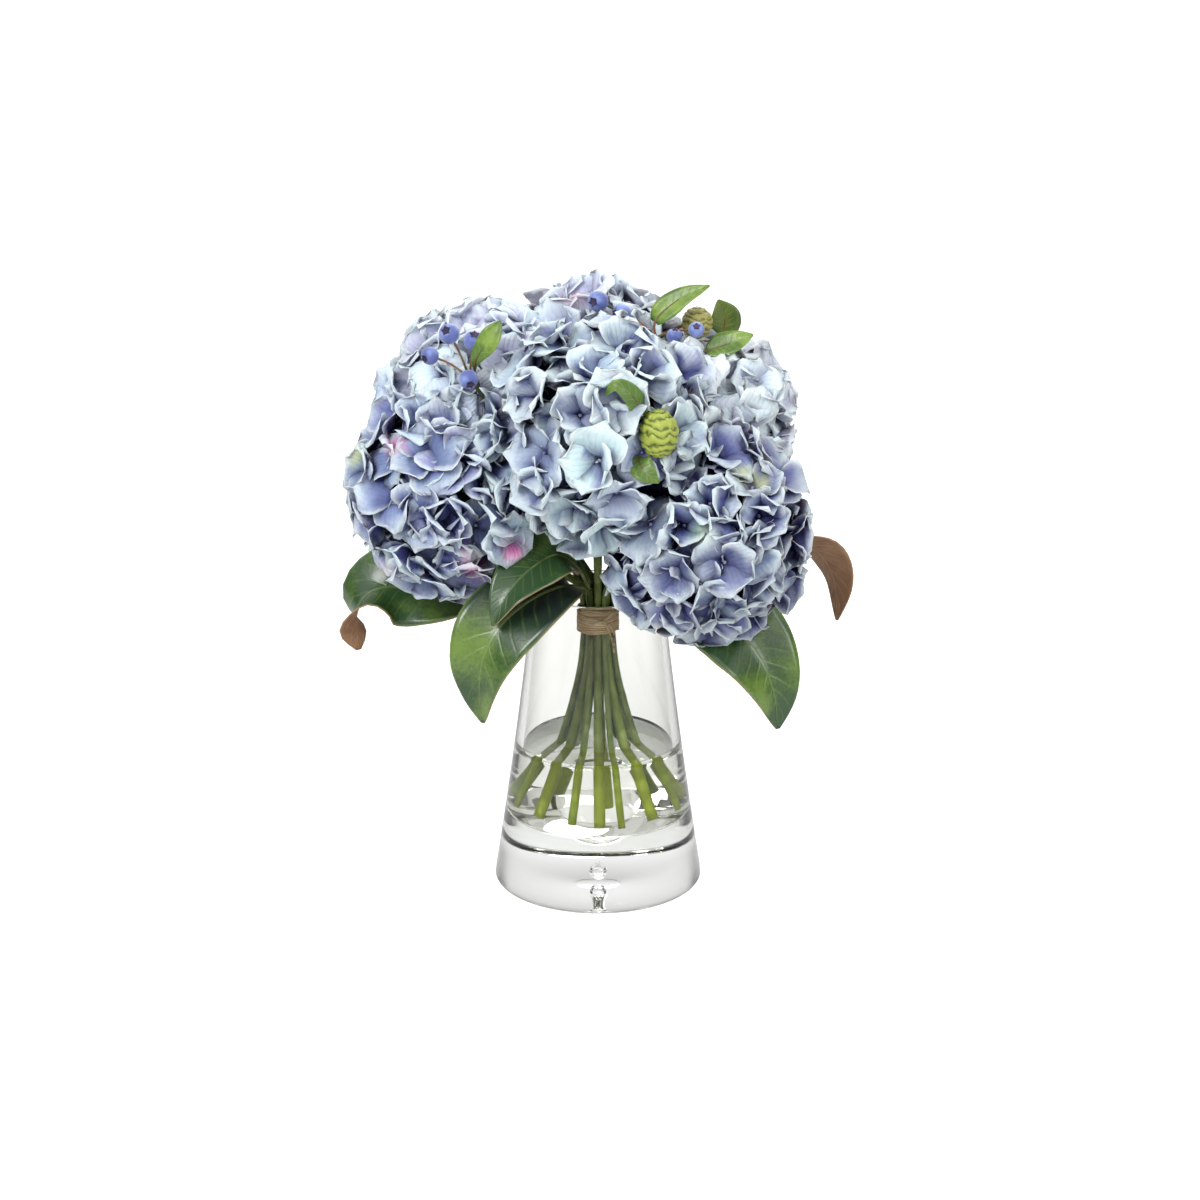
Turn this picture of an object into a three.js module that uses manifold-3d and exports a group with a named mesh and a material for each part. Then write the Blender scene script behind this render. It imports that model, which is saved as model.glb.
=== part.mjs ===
// Hydrangeas in a vase: a hand-tied bunch of eight blue mophead blooms with magnolia leaves, blueberry twigs and
// green seed pods, standing in water in a tapered glass vase with a thick base.
// Millimetres, +Z up. The origin is the centre of the vase's underside, and -Y is the side shown as the front.
import * as THREE from "three";
import { mergeVertices } from "three/addons/utils/BufferGeometryUtils.js";
import Module from "manifold-3d";

const wasm = await Module();
wasm.setup();

// Driving dimensions
const gap = 0.35; // clearance kept between pieces that touch
const sliver = 0.01; // slivers thinner than this are smoothed away
const vase = {
  height: 201,
  footRadius: 68.6,
  rimRadius: 42.3,
  waist: 1.3, // how far the side bows in halfway up
  footRounding: 5,
  wallAtRim: 3.2,
  wallAtFloor: 6.8,
  floor: 46,
  floorRounding: 7,
  dimpleRadius: 15,
  dimpleDepth: 19,
  outerSteps: [70, 135], // heights of the rings between foot and lip
  innerSteps: [98, 149],
  sides: 28,
};
const waterLevel = 96;
const tie = { bottom: 172, top: 190, innerRadius: 12.2, thickness: 1.4, ridges: 3, ridgeHeight: 0.6, sides: 18 };
const bloomStem = { radius: 2.6, sides: 6, ringRadius: 6.4, count: 7, firstAngle: 12 };
const leafyStem = { radius: 1.8, sides: 6, ringRadius: 9.75 };
const twigStem = { radius: 1.6, sides: 5, ringRadius: 9.7 };
const parting = { height: 203, spread: 2.2 }; // where the stems have begun to lean apart, over the tie
const fan = { levels: [50, 74, 99, 124, 150], power: 1.6 }; // how the stems spread from the tie to their cut ends
const floret = {
  petal: 27.5, // length of a sepal from the hub
  spacing: 44, // between the hubs of neighbouring florets
  rise: 8, // how far the sepals' tips stand over the hub
  hub: 7, // half width of the hub
  sunk: 22, // how far the stalk under the hub goes in
  coreDepth: 17, // from the sepals' tips in to the core
  crumple: 3, // how far the core's corners stand in and out
  swell: 9, // how far the florets stand out where a bloom meets its neighbour
  swellWidth: 10, // and how soon that fades away from the neighbour
  thickness: 0.8,
  ruffle: 2.4,
  candidates: 400, // places over the whole ball, of which each floret takes a group
  stemAngle: 24, // no floret grows nearer to the stem than this many degrees
  lifts: [0, -3.5, 2], // heights and turns that are tried, to cross the least with what is there
  turns: [0, 15, 30, 45, 60, 75],
  mostBlocked: 400, // a floret that leaves and stems would take more cubic millimetres of is left out
};
const berryRadius = 6.3;
const leaf = { thickness: 1, cells: 6, across: 4, stalkRadius: 1.3, fold: 0.25, wave: 0.1 };
const smallLeaf = { thickness: 0.8, cells: 4, across: 2, stalkRadius: 0.9, fold: 0.25, wave: 0.1 };

// Each bloom: its centre, its radius over the sepals, where its stem stands in the tied bunch (in sevenths of a
// turn, or the middle) and where the stem's cut end stands on the vase's floor.
const blooms = {
  top_right: { centre: [71, 20, 311], radius: 59, slot: 0, foot: [37, 17] },
  back_right: { centre: [57, 70, 266], radius: 62, slot: 1, foot: [20, 36] },
  back_left: { centre: [-58, 72, 268], radius: 62, slot: 2, foot: [-16, 38] },
  top_left: { centre: [-74, 18, 328], radius: 62, slot: 3, foot: [-37, 20] },
  left: {
    centre: [-92, -20, 271],
    radius: 64,
    slot: 4,
    foot: [-33, -18],
    bend: [[-18, -13, 212], [-40, -19, 229]],
  },
  front: { centre: [0, -44, 315], radius: 70, slot: 5, foot: [1, -36] },
  right: { centre: [66, -50, 251], radius: 66, slot: 6, foot: [31, -22] },
  top: { centre: [-2, 42, 339], radius: 61, slot: "middle", foot: [4, 8] },
};

// The leafy stems. Each leaf follows its midrib from the top of the stem to its tip, its upper face turned the way
// that facing says along the way, and its blade starts at that share of the midrib.
const magnoliaStems = {
  left: {
    slot: 4.5,
    foot: [-15, -31],
    leaves: [
      {
        midrib: [
          [-14, -16, 203], [-32, -18, 208], [-62, -13, 203], [-92, -8, 199], [-118, -6, 202],
          [-138, -8, 204], [-152, -12, 198], [-157, -16, 182], [-155, -18, 165],
        ],
        facing: [
          [0, -0.3, 1], [0, -0.5, 0.9], [-0.1, -0.8, 0.6], [-0.2, -0.85, 0.5], [-0.75, -0.45, 0.45],
          [-0.7, 0.7, 0],
        ],
        halfWidth: 26,
        bladeStart: 0.33,
      },
      {
        midrib: [[-13, -29, 224], [-27, -48, 238], [-45, -64, 231], [-58, -74, 218], [-66, -79, 201]],
        facing: [
          [0.3, -0.6, 0.7], [0.2, -0.6, 0.7], [0, -0.7, 0.7], [-0.3, -0.75, 0.5],
          [-0.4, -0.85, 0.3],
        ],
        halfWidth: 19,
        bladeStart: 0.25,
      },
      {
        midrib: [
          [-13, -25, 210], [-26, -44, 215], [-45, -60, 210], [-62, -71, 197], [-72, -75, 178],
          [-75, -75, 155], [-73, -72, 134],
        ],
        facing: [
          [0.2, -0.2, 1], [0.1, -0.4, 0.9], [-0.1, -0.7, 0.75], [-0.3, -0.85, 0.45],
          [-0.4, -0.9, 0.1], [-0.45, -0.9, 0],
        ],
        halfWidth: 27,
        bladeStart: 0.16,
      },
    ],
  },
  right: {
    slot: 6.5,
    foot: [44, -6],
    leaves: [
      {
        midrib: [
          [32, -19, 208], [61, -40, 202], [85, -50, 191], [103, -56, 171], [112, -58, 149],
          [115, -58, 125],
        ],
        facing: [
          [0.2, -0.2, 1], [0.2, -0.4, 0.9], [0.35, -0.7, 0.6], [0.4, -0.85, 0.35],
          [0.45, -0.85, 0.2],
        ],
        halfWidth: 31,
        bladeStart: 0.3,
        fold: 0.3,
      },
      {
        midrib: [
          [34, 8, 211], [64, 24, 216], [100, 36, 222], [127, 42, 221], [147, 46, 211],
          [158, 49, 190], [160, 51, 163],
        ],
        facing: [
          [0, 0, 1], [0, -0.1, 1], [0.05, -0.2, 1], [0.4, 0.3, 0.85], [0.7, 0.6, 0.4],
          [0.75, 0.65, 0.1],
        ],
        halfWidth: 22,
        bladeStart: 0.42,
      },
    ],
  },
  back: {
    slot: 1.5,
    foot: [2, 40],
    leaves: [
      {
        midrib: [[14, 34, 209], [40, 66, 201], [62, 94, 190], [76, 112, 170], [82, 120, 145]],
        facing: [[0, 0.3, 1], [0.2, 0.4, 0.9], [0.4, 0.6, 0.7], [0.5, 0.8, 0.3], [0.5, 0.85, 0]],
        halfWidth: 25,
        bladeStart: 0.32,
      },
      {
        midrib: [[-16, 34, 210], [-46, 66, 203], [-76, 92, 196], [-98, 108, 180], [-108, 114, 156]],
        facing: [[0, 0.3, 1], [-0.2, 0.4, 0.9], [-0.4, 0.6, 0.7], [-0.5, 0.8, 0.3], [-0.5, 0.85, 0]],
        halfWidth: 24,
        bladeStart: 0.3,
      },
    ],
  },
};

// The twigs. Each goes up its shoot to a fork, where the stalks of its berries, pods and small leaves part.
const twigs = {
  berry_twig_left: {
    slot: 3.5,
    foot: [-43, 0],
    shoot: [[-16, -2, 215], [-34, -8, 262], [-54, -22, 305], [-80, -37, 350]],
    berries: [[-92, -42, 379], [-77, -40, 374], [-104, -46, 366], [-80, -50, 352]],
    leaves: [
      {
        midrib: [[-74, -33, 342], [-76, -46, 362], [-68, -48, 375], [-60, -46, 388]],
        facing: [[0.2, -0.9, 0.3], [-0.1, -0.9, 0.4], [-0.3, -0.9, 0.3]],
        halfWidth: 7,
        bladeStart: 0.3,
      },
    ],
    pods: [],
  },
  pod_twig_front: {
    slot: 5.5,
    foot: [14, -38],
    shoot: [[14, -18, 222], [26, -36, 262], [32, -58, 296], [36, -84, 324]],
    berries: [],
    leaves: [
      {
        midrib: [[35, -80, 320], [30, -95, 344], [24, -101, 358], [13, -103, 360], [4, -100, 352]],
        facing: [[-0.2, -0.8, 0.5], [0, -0.85, 0.5], [-0.2, -0.8, 0.6], [-0.5, -0.8, 0.4]],
        halfWidth: 7,
        bladeStart: 0.36,
      },
      {
        midrib: [[35, -80, 318], [25, -100, 314], [28, -107, 309], [37, -110, 302]],
        facing: [[-0.3, -0.9, 0.3], [-0.2, -0.9, 0.4], [-0.1, -0.9, 0.5]],
        halfWidth: 7.5,
        bladeStart: 0.42,
      },
    ],
    pods: [{ centre: [37, -99, 330], radius: 11.5, height: 29 }],
  },
  berry_twig_top: {
    slot: 0.5,
    foot: [31, 30],
    shoot: [[16, 13, 222], [26, 15, 272], [33, 9, 325], [38, 4, 366]],
    berries: [[0, -2, 391], [15, -6, 384], [62, -8, 374], [48, -12, 371]],
    leaves: [
      {
        midrib: [[38, 4, 362], [36, -4, 378], [50, -4, 392], [70, -6, 402]],
        facing: [[-0.5, -0.8, 0.3], [-0.4, -0.8, 0.4], [-0.2, -0.7, 0.6]],
        halfWidth: 8,
        bladeStart: 0.3,
      },
      {
        midrib: [[38, 5, 362], [60, 21, 360], [78, 22, 362], [81, 22, 374], [77, 22, 387]],
        facing: [[-0.3, -0.8, 0.5], [0.1, -0.9, 0.4], [0.2, -0.9, 0.2]],
        halfWidth: 10,
        bladeStart: 0.66,
      },
      {
        midrib: [[38, 3, 361], [62, -2, 358], [80, -3, 363], [98, -4, 370]],
        facing: [[0, -0.6, 0.8], [0.1, -0.7, 0.7], [0.2, -0.8, 0.6]],
        halfWidth: 8,
        bladeStart: 0.5,
      },
    ],
    pods: [{ centre: [63, 8, 375], radius: 9.5, height: 20 }],
  },
};

// Helpers for vectors, solids and nodes

const vec = (x, y, z) => new THREE.Vector3(x, y, z);
const toVec = (p) => vec(p[0], p[1], p[2]);
const radians = (degrees) => (degrees * Math.PI) / 180;

// A repeatable random draw between -1 and 1.
function seededDraw(seed) {
  let state = seed >>> 0;
  return () => {
    state = (state + 0x6d2b79f5) >>> 0;
    let mixed = Math.imul(state ^ (state >>> 15), 1 | state);
    mixed = (mixed + Math.imul(mixed ^ (mixed >>> 7), 61 | mixed)) ^ mixed;
    return (((mixed ^ (mixed >>> 14)) >>> 0) / 4294967296) * 2 - 1;
  };
}

function solidFromMesh(points, triangles) {
  const vertProperties = new Float32Array(points.flatMap((p) => [p.x, p.y, p.z]));
  const triVerts = new Uint32Array(triangles.flat());
  return new wasm.Manifold(new wasm.Mesh({ numProp: 3, vertProperties, triVerts }));
}

function solidFromGeometry(geometry) {
  const bare = geometry.clone();
  bare.deleteAttribute("normal");
  bare.deleteAttribute("uv");
  const merged = mergeVertices(bare, 1e-3);
  return new wasm.Manifold(
    new wasm.Mesh({
      numProp: 3,
      vertProperties: new Float32Array(merged.attributes.position.array),
      triVerts: new Uint32Array(merged.index.array),
    }),
  );
}

function geometryFromSolid(solid) {
  const mesh = solid.getMesh();
  const position = new Float32Array(mesh.numVert * 3);
  for (let i = 0; i < mesh.numVert; i++) {
    position.set(mesh.vertProperties.subarray(i * mesh.numProp, i * mesh.numProp + 3), i * 3);
  }
  const geometry = new THREE.BufferGeometry();
  geometry.setAttribute("position", new THREE.BufferAttribute(position, 3));
  geometry.setIndex(new THREE.BufferAttribute(new Uint32Array(mesh.triVerts), 1));
  geometry.computeVertexNormals();
  return geometry;
}

const union = (solids) => wasm.Manifold.union(solids);

// The largest connected body of a solid: loose scraps that a cut leaves are dropped.
function largestBody(solid) {
  return solid.decompose().sort((a, b) => b.volume() - a.volume())[0];
}

// A turned solid from a profile of [radius, height] points that starts and ends on the axis.
function turned(profile, sides) {
  const points = profile.map(([r, z]) => new THREE.Vector2(r, z));
  const geometry = new THREE.LatheGeometry(points, sides);
  geometry.rotateX(Math.PI / 2);
  return solidFromGeometry(geometry);
}

// Spaced places on a smooth curve through the points.
function smoothPoints(points, divisions) {
  const curve = new THREE.CatmullRomCurve3(points.map(toVec), false, "centripetal");
  return curve.getSpacedPoints(divisions).map((p) => p.toArray());
}

// A round tube with a ring of corners at each point, closed at both ends. A clearance makes it that much thicker
// and longer, to cut room for itself out of another piece.
function tube(points, radius, sides, clearance = 0) {
  const places = points.map(toVec);
  const last = places.length - 1;
  const tangents = places.map((place, i) => {
    const before = places[Math.max(i - 1, 0)];
    return places[Math.min(i + 1, last)].clone().sub(before).normalize();
  });
  places[0].addScaledVector(tangents[0], -clearance);
  places[last].addScaledVector(tangents[last], clearance);
  const outer = radius + clearance / Math.cos(Math.PI / sides);
  const across = vec(1, 0, 0);
  const corners = [];
  places.forEach((place, i) => {
    across.addScaledVector(tangents[i], -across.dot(tangents[i])).normalize();
    const other = tangents[i].clone().cross(across);
    for (let k = 0; k < sides; k++) {
      const angle = (k / sides) * 2 * Math.PI;
      const corner = place.clone().addScaledVector(across, outer * Math.cos(angle));
      corners.push(corner.addScaledVector(other, outer * Math.sin(angle)));
    }
  });
  const triangles = [];
  for (let k = 0; k < sides; k++) {
    const next = (k + 1) % sides;
    for (let i = 0; i < last; i++) {
      const [a, b] = [i * sides + k, i * sides + next];
      triangles.push([a, b, b + sides], [a, b + sides, a + sides]);
    }
    if (k > 0 && next > 0) {
      triangles.push([0, next, k], [last * sides, last * sides + k, last * sides + next]);
    }
  }
  return solidFromMesh(corners, triangles);
}

const material = (color, roughness, more = {}) => new THREE.MeshStandardMaterial({ color, roughness, ...more });
const materials = {
  glass: material(0xf2f6f4, 0.05, { transparent: true, opacity: 0.3 }),
  water: material(0xe6f1ea, 0.03, { transparent: true, opacity: 0.35 }),
  raffia: material(0xb89a6a, 0.85),
  sepal: material(0x8fa0cf, 0.8),
  stem: material(0x6f8f45, 0.6),
  leaf: material(0x3f6f34, 0.4),
  twig: material(0x5b6fb5, 0.5),
};

const bouquet = new THREE.Group();

// The slivers that joins and cuts leave are taken out of each finished solid.
function addNode(name, solid, look) {
  const clean = solid.asOriginal().simplify(sliver);
  const mesh = new THREE.Mesh(geometryFromSolid(clean), look);
  mesh.name = name;
  bouquet.add(mesh);
}

// The vase: a tapered wall, a thick base with a bowl in the middle of its floor

function outerRadius(z) {
  const t = (z - vase.footRounding) / (vase.height - vase.footRounding);
  return THREE.MathUtils.lerp(vase.footRadius, vase.rimRadius, t) - vase.waist * 4 * t * (1 - t);
}

function innerRadius(z) {
  const t = (z - vase.floor) / (vase.height - vase.floor);
  return outerRadius(z) - THREE.MathUtils.lerp(vase.wallAtFloor, vase.wallAtRim, t);
}

// Floor and inner wall from the axis up to a height, taken in by a clearance.
function cavityProfile(top, clearance) {
  const bowl = [0, 30, 60, 90].map((angle) => [
    Math.max(0, (vase.dimpleRadius - clearance) * Math.sin(radians(angle))),
    vase.floor - vase.dimpleDepth * Math.cos(radians(angle)) + clearance,
  ]);
  const cornerRadius = innerRadius(vase.floor) - clearance;
  const corner = [
    [cornerRadius - vase.floorRounding, vase.floor + clearance],
    [cornerRadius - vase.floorRounding * 0.25, vase.floor + vase.floorRounding * 0.3 + clearance],
  ];
  const wall = [vase.floor + vase.floorRounding, ...vase.innerSteps]
    .filter((z) => z < top - 15)
    .map((z) => [innerRadius(z) - clearance, z]);
  return [...bowl, ...corner, ...wall, [innerRadius(top) - clearance, top]];
}

function makeVase() {
  const rounding = vase.footRounding;
  const foot = [
    [0, 0],
    [vase.footRadius - rounding, 0],
    [vase.footRadius - rounding * 0.3, rounding * 0.3],
    [vase.footRadius, rounding],
  ];
  const wall = [...vase.outerSteps, vase.height - 1].map((z) => [outerRadius(z), z]);
  const lip = [[vase.rimRadius - 0.8, vase.height], [vase.rimRadius - 1.8, vase.height]];
  const inside = cavityProfile(vase.height - 1, 0).reverse();
  return turned([...foot, ...wall, ...lip, ...inside], vase.sides);
}

// The room that the florets leave for the mouth of the vase.
function makeMouthRoom() {
  const low = vase.outerSteps[1];
  const high = vase.height + gap;
  return turned([[0, low], [outerRadius(low) + gap, low], [vase.rimRadius + gap, high], [0, high]], vase.sides);
}

function makeWater() {
  return turned([...cavityProfile(waterLevel, gap), [0, waterLevel]], vase.sides);
}

// The raffia tie: a band whose turns stand out as ridges

function makeTie() {
  const inner = tie.innerRadius;
  const outer = inner + tie.thickness;
  const profile = [[inner, tie.bottom]];
  for (let i = 0; i <= tie.ridges * 2; i++) {
    const z = THREE.MathUtils.lerp(tie.bottom, tie.top, i / (tie.ridges * 2));
    profile.push([outer + (i % 2 ? tie.ridgeHeight : 0), z]);
  }
  profile.push([inner, tie.top], [inner, tie.bottom]);
  return turned(profile, tie.sides);
}

// Stems: bundled at the tie, spread in a fan to the vase's floor, and parting above it

function bundlePlace(angle, ringRadius) {
  return [ringRadius * Math.cos(radians(angle)), ringRadius * Math.sin(radians(angle))];
}

function slotAngle(slot) {
  return bloomStem.firstAngle + (360 / bloomStem.count) * slot;
}

// Points of a stem from its cut end up to the top of the tie.
function lowerStem(place, foot) {
  const spread = fan.levels.map((z) => {
    const share = ((tie.bottom - z) / (tie.bottom - fan.levels[0])) ** fan.power;
    return [THREE.MathUtils.lerp(place[0], foot[0], share), THREE.MathUtils.lerp(place[1], foot[1], share), z];
  });
  return [...spread, [...place, tie.bottom], [...place, tie.top]];
}

// Where a stem has begun to lean apart from the others, over the tie.
function partingPoint(place) {
  const lean = 1 + parting.spread / Math.max(1, Math.hypot(...place));
  return [place[0] * lean, place[1] * lean, parting.height];
}

// A whole stem: the lower part, and a smooth curve from the tie through the points above.
function stemPoints(place, foot, above, divisions) {
  const upper = smoothPoints([[...place, tie.top], partingPoint(place), ...above], divisions);
  return [...lowerStem(place, foot), ...upper.slice(1)];
}

function bloomStemPoints(bloom) {
  const place = bloom.slot === "middle" ? [0, 0] : bundlePlace(slotAngle(bloom.slot), bloomStem.ringRadius);
  const start = partingPoint(place);
  const towardsCentre = (share) =>
    start.map((from, axis) => THREE.MathUtils.lerp(from, bloom.centre[axis], share));
  // The stem ends inside the core, short of its centre.
  return stemPoints(place, bloom.foot, [...(bloom.bend ?? [towardsCentre(0.4)]), towardsCentre(0.8)], 5);
}

function makeBloomStem(bloom, clearance) {
  return tube(bloomStemPoints(bloom), bloomStem.radius, bloomStem.sides, clearance);
}

// Leaves: a folded and waved blade along a curved midrib, with a stalk where the blade hasn't begun

function leafBlade(form, clearance) {
  const path = new THREE.CatmullRomCurve3(form.midrib.map(toVec), false, "centripetal");
  const faces = new THREE.CatmullRomCurve3(form.facing.map(toVec), false, "centripetal");
  const thick = form.thickness + 2.6 * clearance;
  const columns = form.across + 1;
  const top = [];
  const bottom = [];
  for (let i = 0; i <= form.cells; i++) {
    const along = i / form.cells;
    const t = form.bladeStart + (1 - form.bladeStart) * along;
    const place = path.getPointAt(t);
    const tangent = path.getTangentAt(t);
    const normal = faces.getPoint(t);
    normal.addScaledVector(tangent, -normal.dot(tangent)).normalize();
    const side = normal.clone().cross(tangent);
    const outline = Math.sin(Math.PI * (0.04 + 0.95 * along) ** 0.8) ** 0.85;
    const width = Math.max(0.8, form.halfWidth * outline) + 1.6 * clearance;
    for (let j = 0; j < columns; j++) {
      const s = (j / form.across) * 2 - 1;
      const waving = form.wave * s * s * Math.sin(along * 9 + (s > 0 ? 0 : 2));
      const lift = width * (form.fold * Math.abs(s) + waving);
      const point = place.clone().addScaledVector(side, s * width).addScaledVector(normal, lift);
      if (i === 0) point.addScaledVector(tangent, -clearance);
      if (i === form.cells) point.addScaledVector(tangent, clearance);
      top.push(point.clone().addScaledVector(normal, thick / 2));
      bottom.push(point.clone().addScaledVector(normal, -thick / 2));
    }
  }
  return solidFromMesh([...top, ...bottom], sheetTriangles(form.cells + 1, columns));
}

// Triangles of a thick sheet: an upper grid of rows and columns, the same grid below it, and the edge between.
function sheetTriangles(rows, columns) {
  const under = rows * columns;
  const triangles = [];
  const quad = (a, b, c, d) => triangles.push([a, b, c], [a, c, d]);
  for (let i = 0; i + 1 < rows; i++) {
    for (let j = 0; j + 1 < columns; j++) {
      const a = i * columns + j;
      triangles.push([a, a + columns, a + columns + 1], [a, a + columns + 1, a + 1]);
      const b = a + under;
      triangles.push([b, b + columns + 1, b + columns], [b, b + 1, b + columns + 1]);
    }
  }
  for (let i = 0; i + 1 < rows; i++) {
    const first = i * columns;
    const last = first + columns - 1;
    quad(first, first + under, first + columns + under, first + columns);
    quad(last, last + columns, last + columns + under, last + under);
  }
  for (let j = 0; j + 1 < columns; j++) {
    const end = (rows - 1) * columns + j;
    quad(j, j + 1, j + 1 + under, j + under);
    quad(end, end + under, end + 1 + under, end + 1);
  }
  return triangles;
}

function leafWithStalk(form, clearance) {
  const path = new THREE.CatmullRomCurve3(form.midrib.map(toVec), false, "centripetal");
  const end = form.bladeStart + 0.1;
  const points = [0, 0.33, 0.66, 1].map((share) => path.getPointAt(share * end).toArray());
  return [tube(points, form.stalkRadius, 4, clearance), leafBlade(form, clearance)];
}

function makeMagnoliaStem(stem, clearance) {
  const place = bundlePlace(slotAngle(stem.slot), leafyStem.ringRadius);
  const top = partingPoint(place);
  const leaves = stem.leaves.map((form) => ({ ...leaf, ...form, midrib: [top, ...form.midrib] }));
  return union([
    tube([...lowerStem(place, stem.foot), top], leafyStem.radius, leafyStem.sides, clearance),
    ...leaves.flatMap((form) => leafWithStalk(form, clearance)),
  ]);
}

// Twigs of blueberries and seed pods with their own small leaves

function berry(centre, clearance) {
  const geometry = new THREE.SphereGeometry(berryRadius + clearance, 6, 5);
  geometry.rotateX(Math.PI / 2);
  return solidFromGeometry(geometry).translate(centre);
}

// A seed pod: an egg shape whose wavy ridges are raised by a formula.
function seedPod({ centre, radius, height }, clearance) {
  const geometry = new THREE.SphereGeometry(1, 9, 9);
  geometry.rotateX(Math.PI / 2);
  const place = geometry.attributes.position;
  for (let i = 0; i < place.count; i++) {
    const p = vec(place.getX(i), place.getY(i), place.getZ(i));
    const around = Math.atan2(p.y, p.x);
    const row = Math.round((Math.acos(THREE.MathUtils.clamp(p.z, -1, 1)) / Math.PI) * 9);
    const ridge = Math.abs(p.z) > 0.99 ? 1 : 1 + 0.05 * (row % 2 ? 1 : -1) + 0.03 * Math.sin(4 * around);
    p.multiplyScalar(ridge);
    place.setXYZ(i, p.x * (radius + clearance), p.y * (radius + clearance), p.z * (height / 2 + clearance));
  }
  return solidFromGeometry(geometry).translate(centre);
}

function makeTwig(twig, clearance) {
  const place = bundlePlace(slotAngle(twig.slot), twigStem.ringRadius);
  const fork = twig.shoot[twig.shoot.length - 1];
  const berryStalk = (centre) => {
    const middle = [0, 1, 2].map((axis) => (fork[axis] + centre[axis]) / 2 + (axis === 2 ? 2 : 0));
    return tube([fork, middle, centre], 0.9, 4, clearance);
  };
  return union([
    tube(stemPoints(place, twig.foot, twig.shoot, 7), twigStem.radius, twigStem.sides, clearance),
    ...twig.berries.map((centre) => berry(centre, clearance)),
    ...twig.berries.map(berryStalk),
    ...twig.pods.map((pod) => seedPod(pod, clearance)),
    ...twig.pods.map((pod) => tube([fork, pod.centre], 1.4, 4, clearance)),
    ...twig.leaves.flatMap((form) => leafWithStalk({ ...smallLeaf, ...form }, clearance)),
  ]);
}

// Blooms: four-sepalled florets standing out of a smaller core, kept on the bloom's own side of its neighbours

const outlineAngles = [-45, -33, 0, 33];
const outlineShares = [0, 0.84, 1, 0.84]; // of the sepal's length; the first is the notch at the hub

function floretPoints(draw) {
  const top = [vec(0, 0, -1.5)];
  const bottom = [vec(0, 0, -floret.sunk)];
  for (let k = 0; k < 4; k++) {
    const twist = floret.ruffle * draw();
    outlineAngles.forEach((angle, i) => {
      const notch = i === 0;
      const reach = notch ? floret.hub : floret.petal * outlineShares[i] * (1 + 0.06 * draw());
      const turn = radians(90 * k + angle);
      const lean = notch ? 0 : (i - 2) * twist;
      const tipDrop = i === 2 ? -0.8 + 1.2 * draw() : 0;
      const z = notch ? 0 : floret.rise * outlineShares[i] + lean + tipDrop;
      top.push(vec(reach * Math.cos(turn), reach * Math.sin(turn), z));
      bottom.push(vec(reach * Math.cos(turn), reach * Math.sin(turn), z - floret.thickness));
    });
  }
  return { top, bottom };
}

function floretTriangles() {
  const under = 17;
  const triangles = [];
  for (let k = 0; k < 4; k++) {
    const [notch, left, tip, right] = [1, 2, 3, 4].map((i) => 4 * k + i);
    const next = ((4 * k + 4) % 16) + 1;
    const face = [
      [0, notch, next],
      [notch, left, tip],
      [notch, tip, next],
      [next, tip, right],
    ];
    const edge = [notch, left, tip, right, next];
    face.forEach(([a, b, c]) => triangles.push([a, b, c], [a + under, c + under, b + under]));
    for (let i = 0; i < 4; i++) {
      const [a, b] = [edge[i], edge[i + 1]];
      triangles.push([a, a + under, b + under], [a, b + under, b]);
    }
  }
  return triangles;
}

const bloomList = Object.values(blooms).map((bloom) => ({ ...bloom, centre: toVec(bloom.centre) }));

// The flat walls between one bloom and its neighbours, each as a normal and an offset with the bloom behind it.
function neighbourWalls(bloom) {
  return bloomList
    .filter((other) => other !== bloom)
    .map((other) => {
      const normal = other.centre.clone().sub(bloom.centre);
      const apart = normal.length();
      normal.normalize();
      const share = (apart * apart + bloom.radius ** 2 - other.radius ** 2) / (2 * apart);
      return { normal, offset: normal.dot(bloom.centre) + share - gap / 2, apart: apart - other.radius };
    })
    .filter((wall) => wall.apart < bloom.radius);
}

// Even directions over a sphere, by the golden angle.
function evenDirections(count) {
  const golden = Math.PI * (3 - Math.sqrt(5));
  return Array.from({ length: count }, (unused, i) => {
    const z = 1 - (2 * i + 1) / count;
    const r = Math.sqrt(1 - z * z);
    return vec(r * Math.cos(golden * i), r * Math.sin(golden * i), z);
  });
}

// The hub of a floret, which stands out further close to a neighbour, where the blooms swell together.
function hubAt(bloom, direction, walls, lift = 0) {
  const hub = bloom.centre.clone().addScaledVector(direction, bloom.radius - floret.rise + lift);
  const room = Math.min(...walls.map(({ normal, offset }) => offset - hub.dot(normal)));
  return hub.addScaledVector(direction, floret.swell * Math.exp(-Math.max(0, room) / floret.swellWidth));
}

// A floret placed on a bloom, bent clear of the walls to its neighbours.
function placedFloret(bloom, direction, spin, lift, shape, walls) {
  const frame = new THREE.Quaternion().setFromUnitVectors(vec(0, 0, 1), direction);
  const turn = new THREE.Quaternion().setFromAxisAngle(vec(0, 0, 1), spin);
  frame.multiply(turn);
  const hub = hubAt(bloom, direction, walls, lift);
  const curve = 1 / (2.6 * bloom.radius);
  const put = (p) => vec(p.x, p.y, p.z - (p.x * p.x + p.y * p.y) * curve).applyQuaternion(frame).add(hub);
  const top = shape.top.map(put);
  const bottom = shape.bottom.map(put);
  for (let pass = 0; pass < 2; pass++) {
    for (const { normal, offset } of walls) {
      top.forEach((p, i) => {
        const over = Math.max(p.dot(normal), bottom[i].dot(normal)) - (offset - gap);
        if (over > 0) {
          p.addScaledVector(normal, -over);
          bottom[i].addScaledVector(normal, -over);
        }
      });
    }
  }
  return solidFromMesh([...top, ...bottom], floretTriangles());
}

const overlapOf = (a, b) => a.intersect(b).volume();

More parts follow.
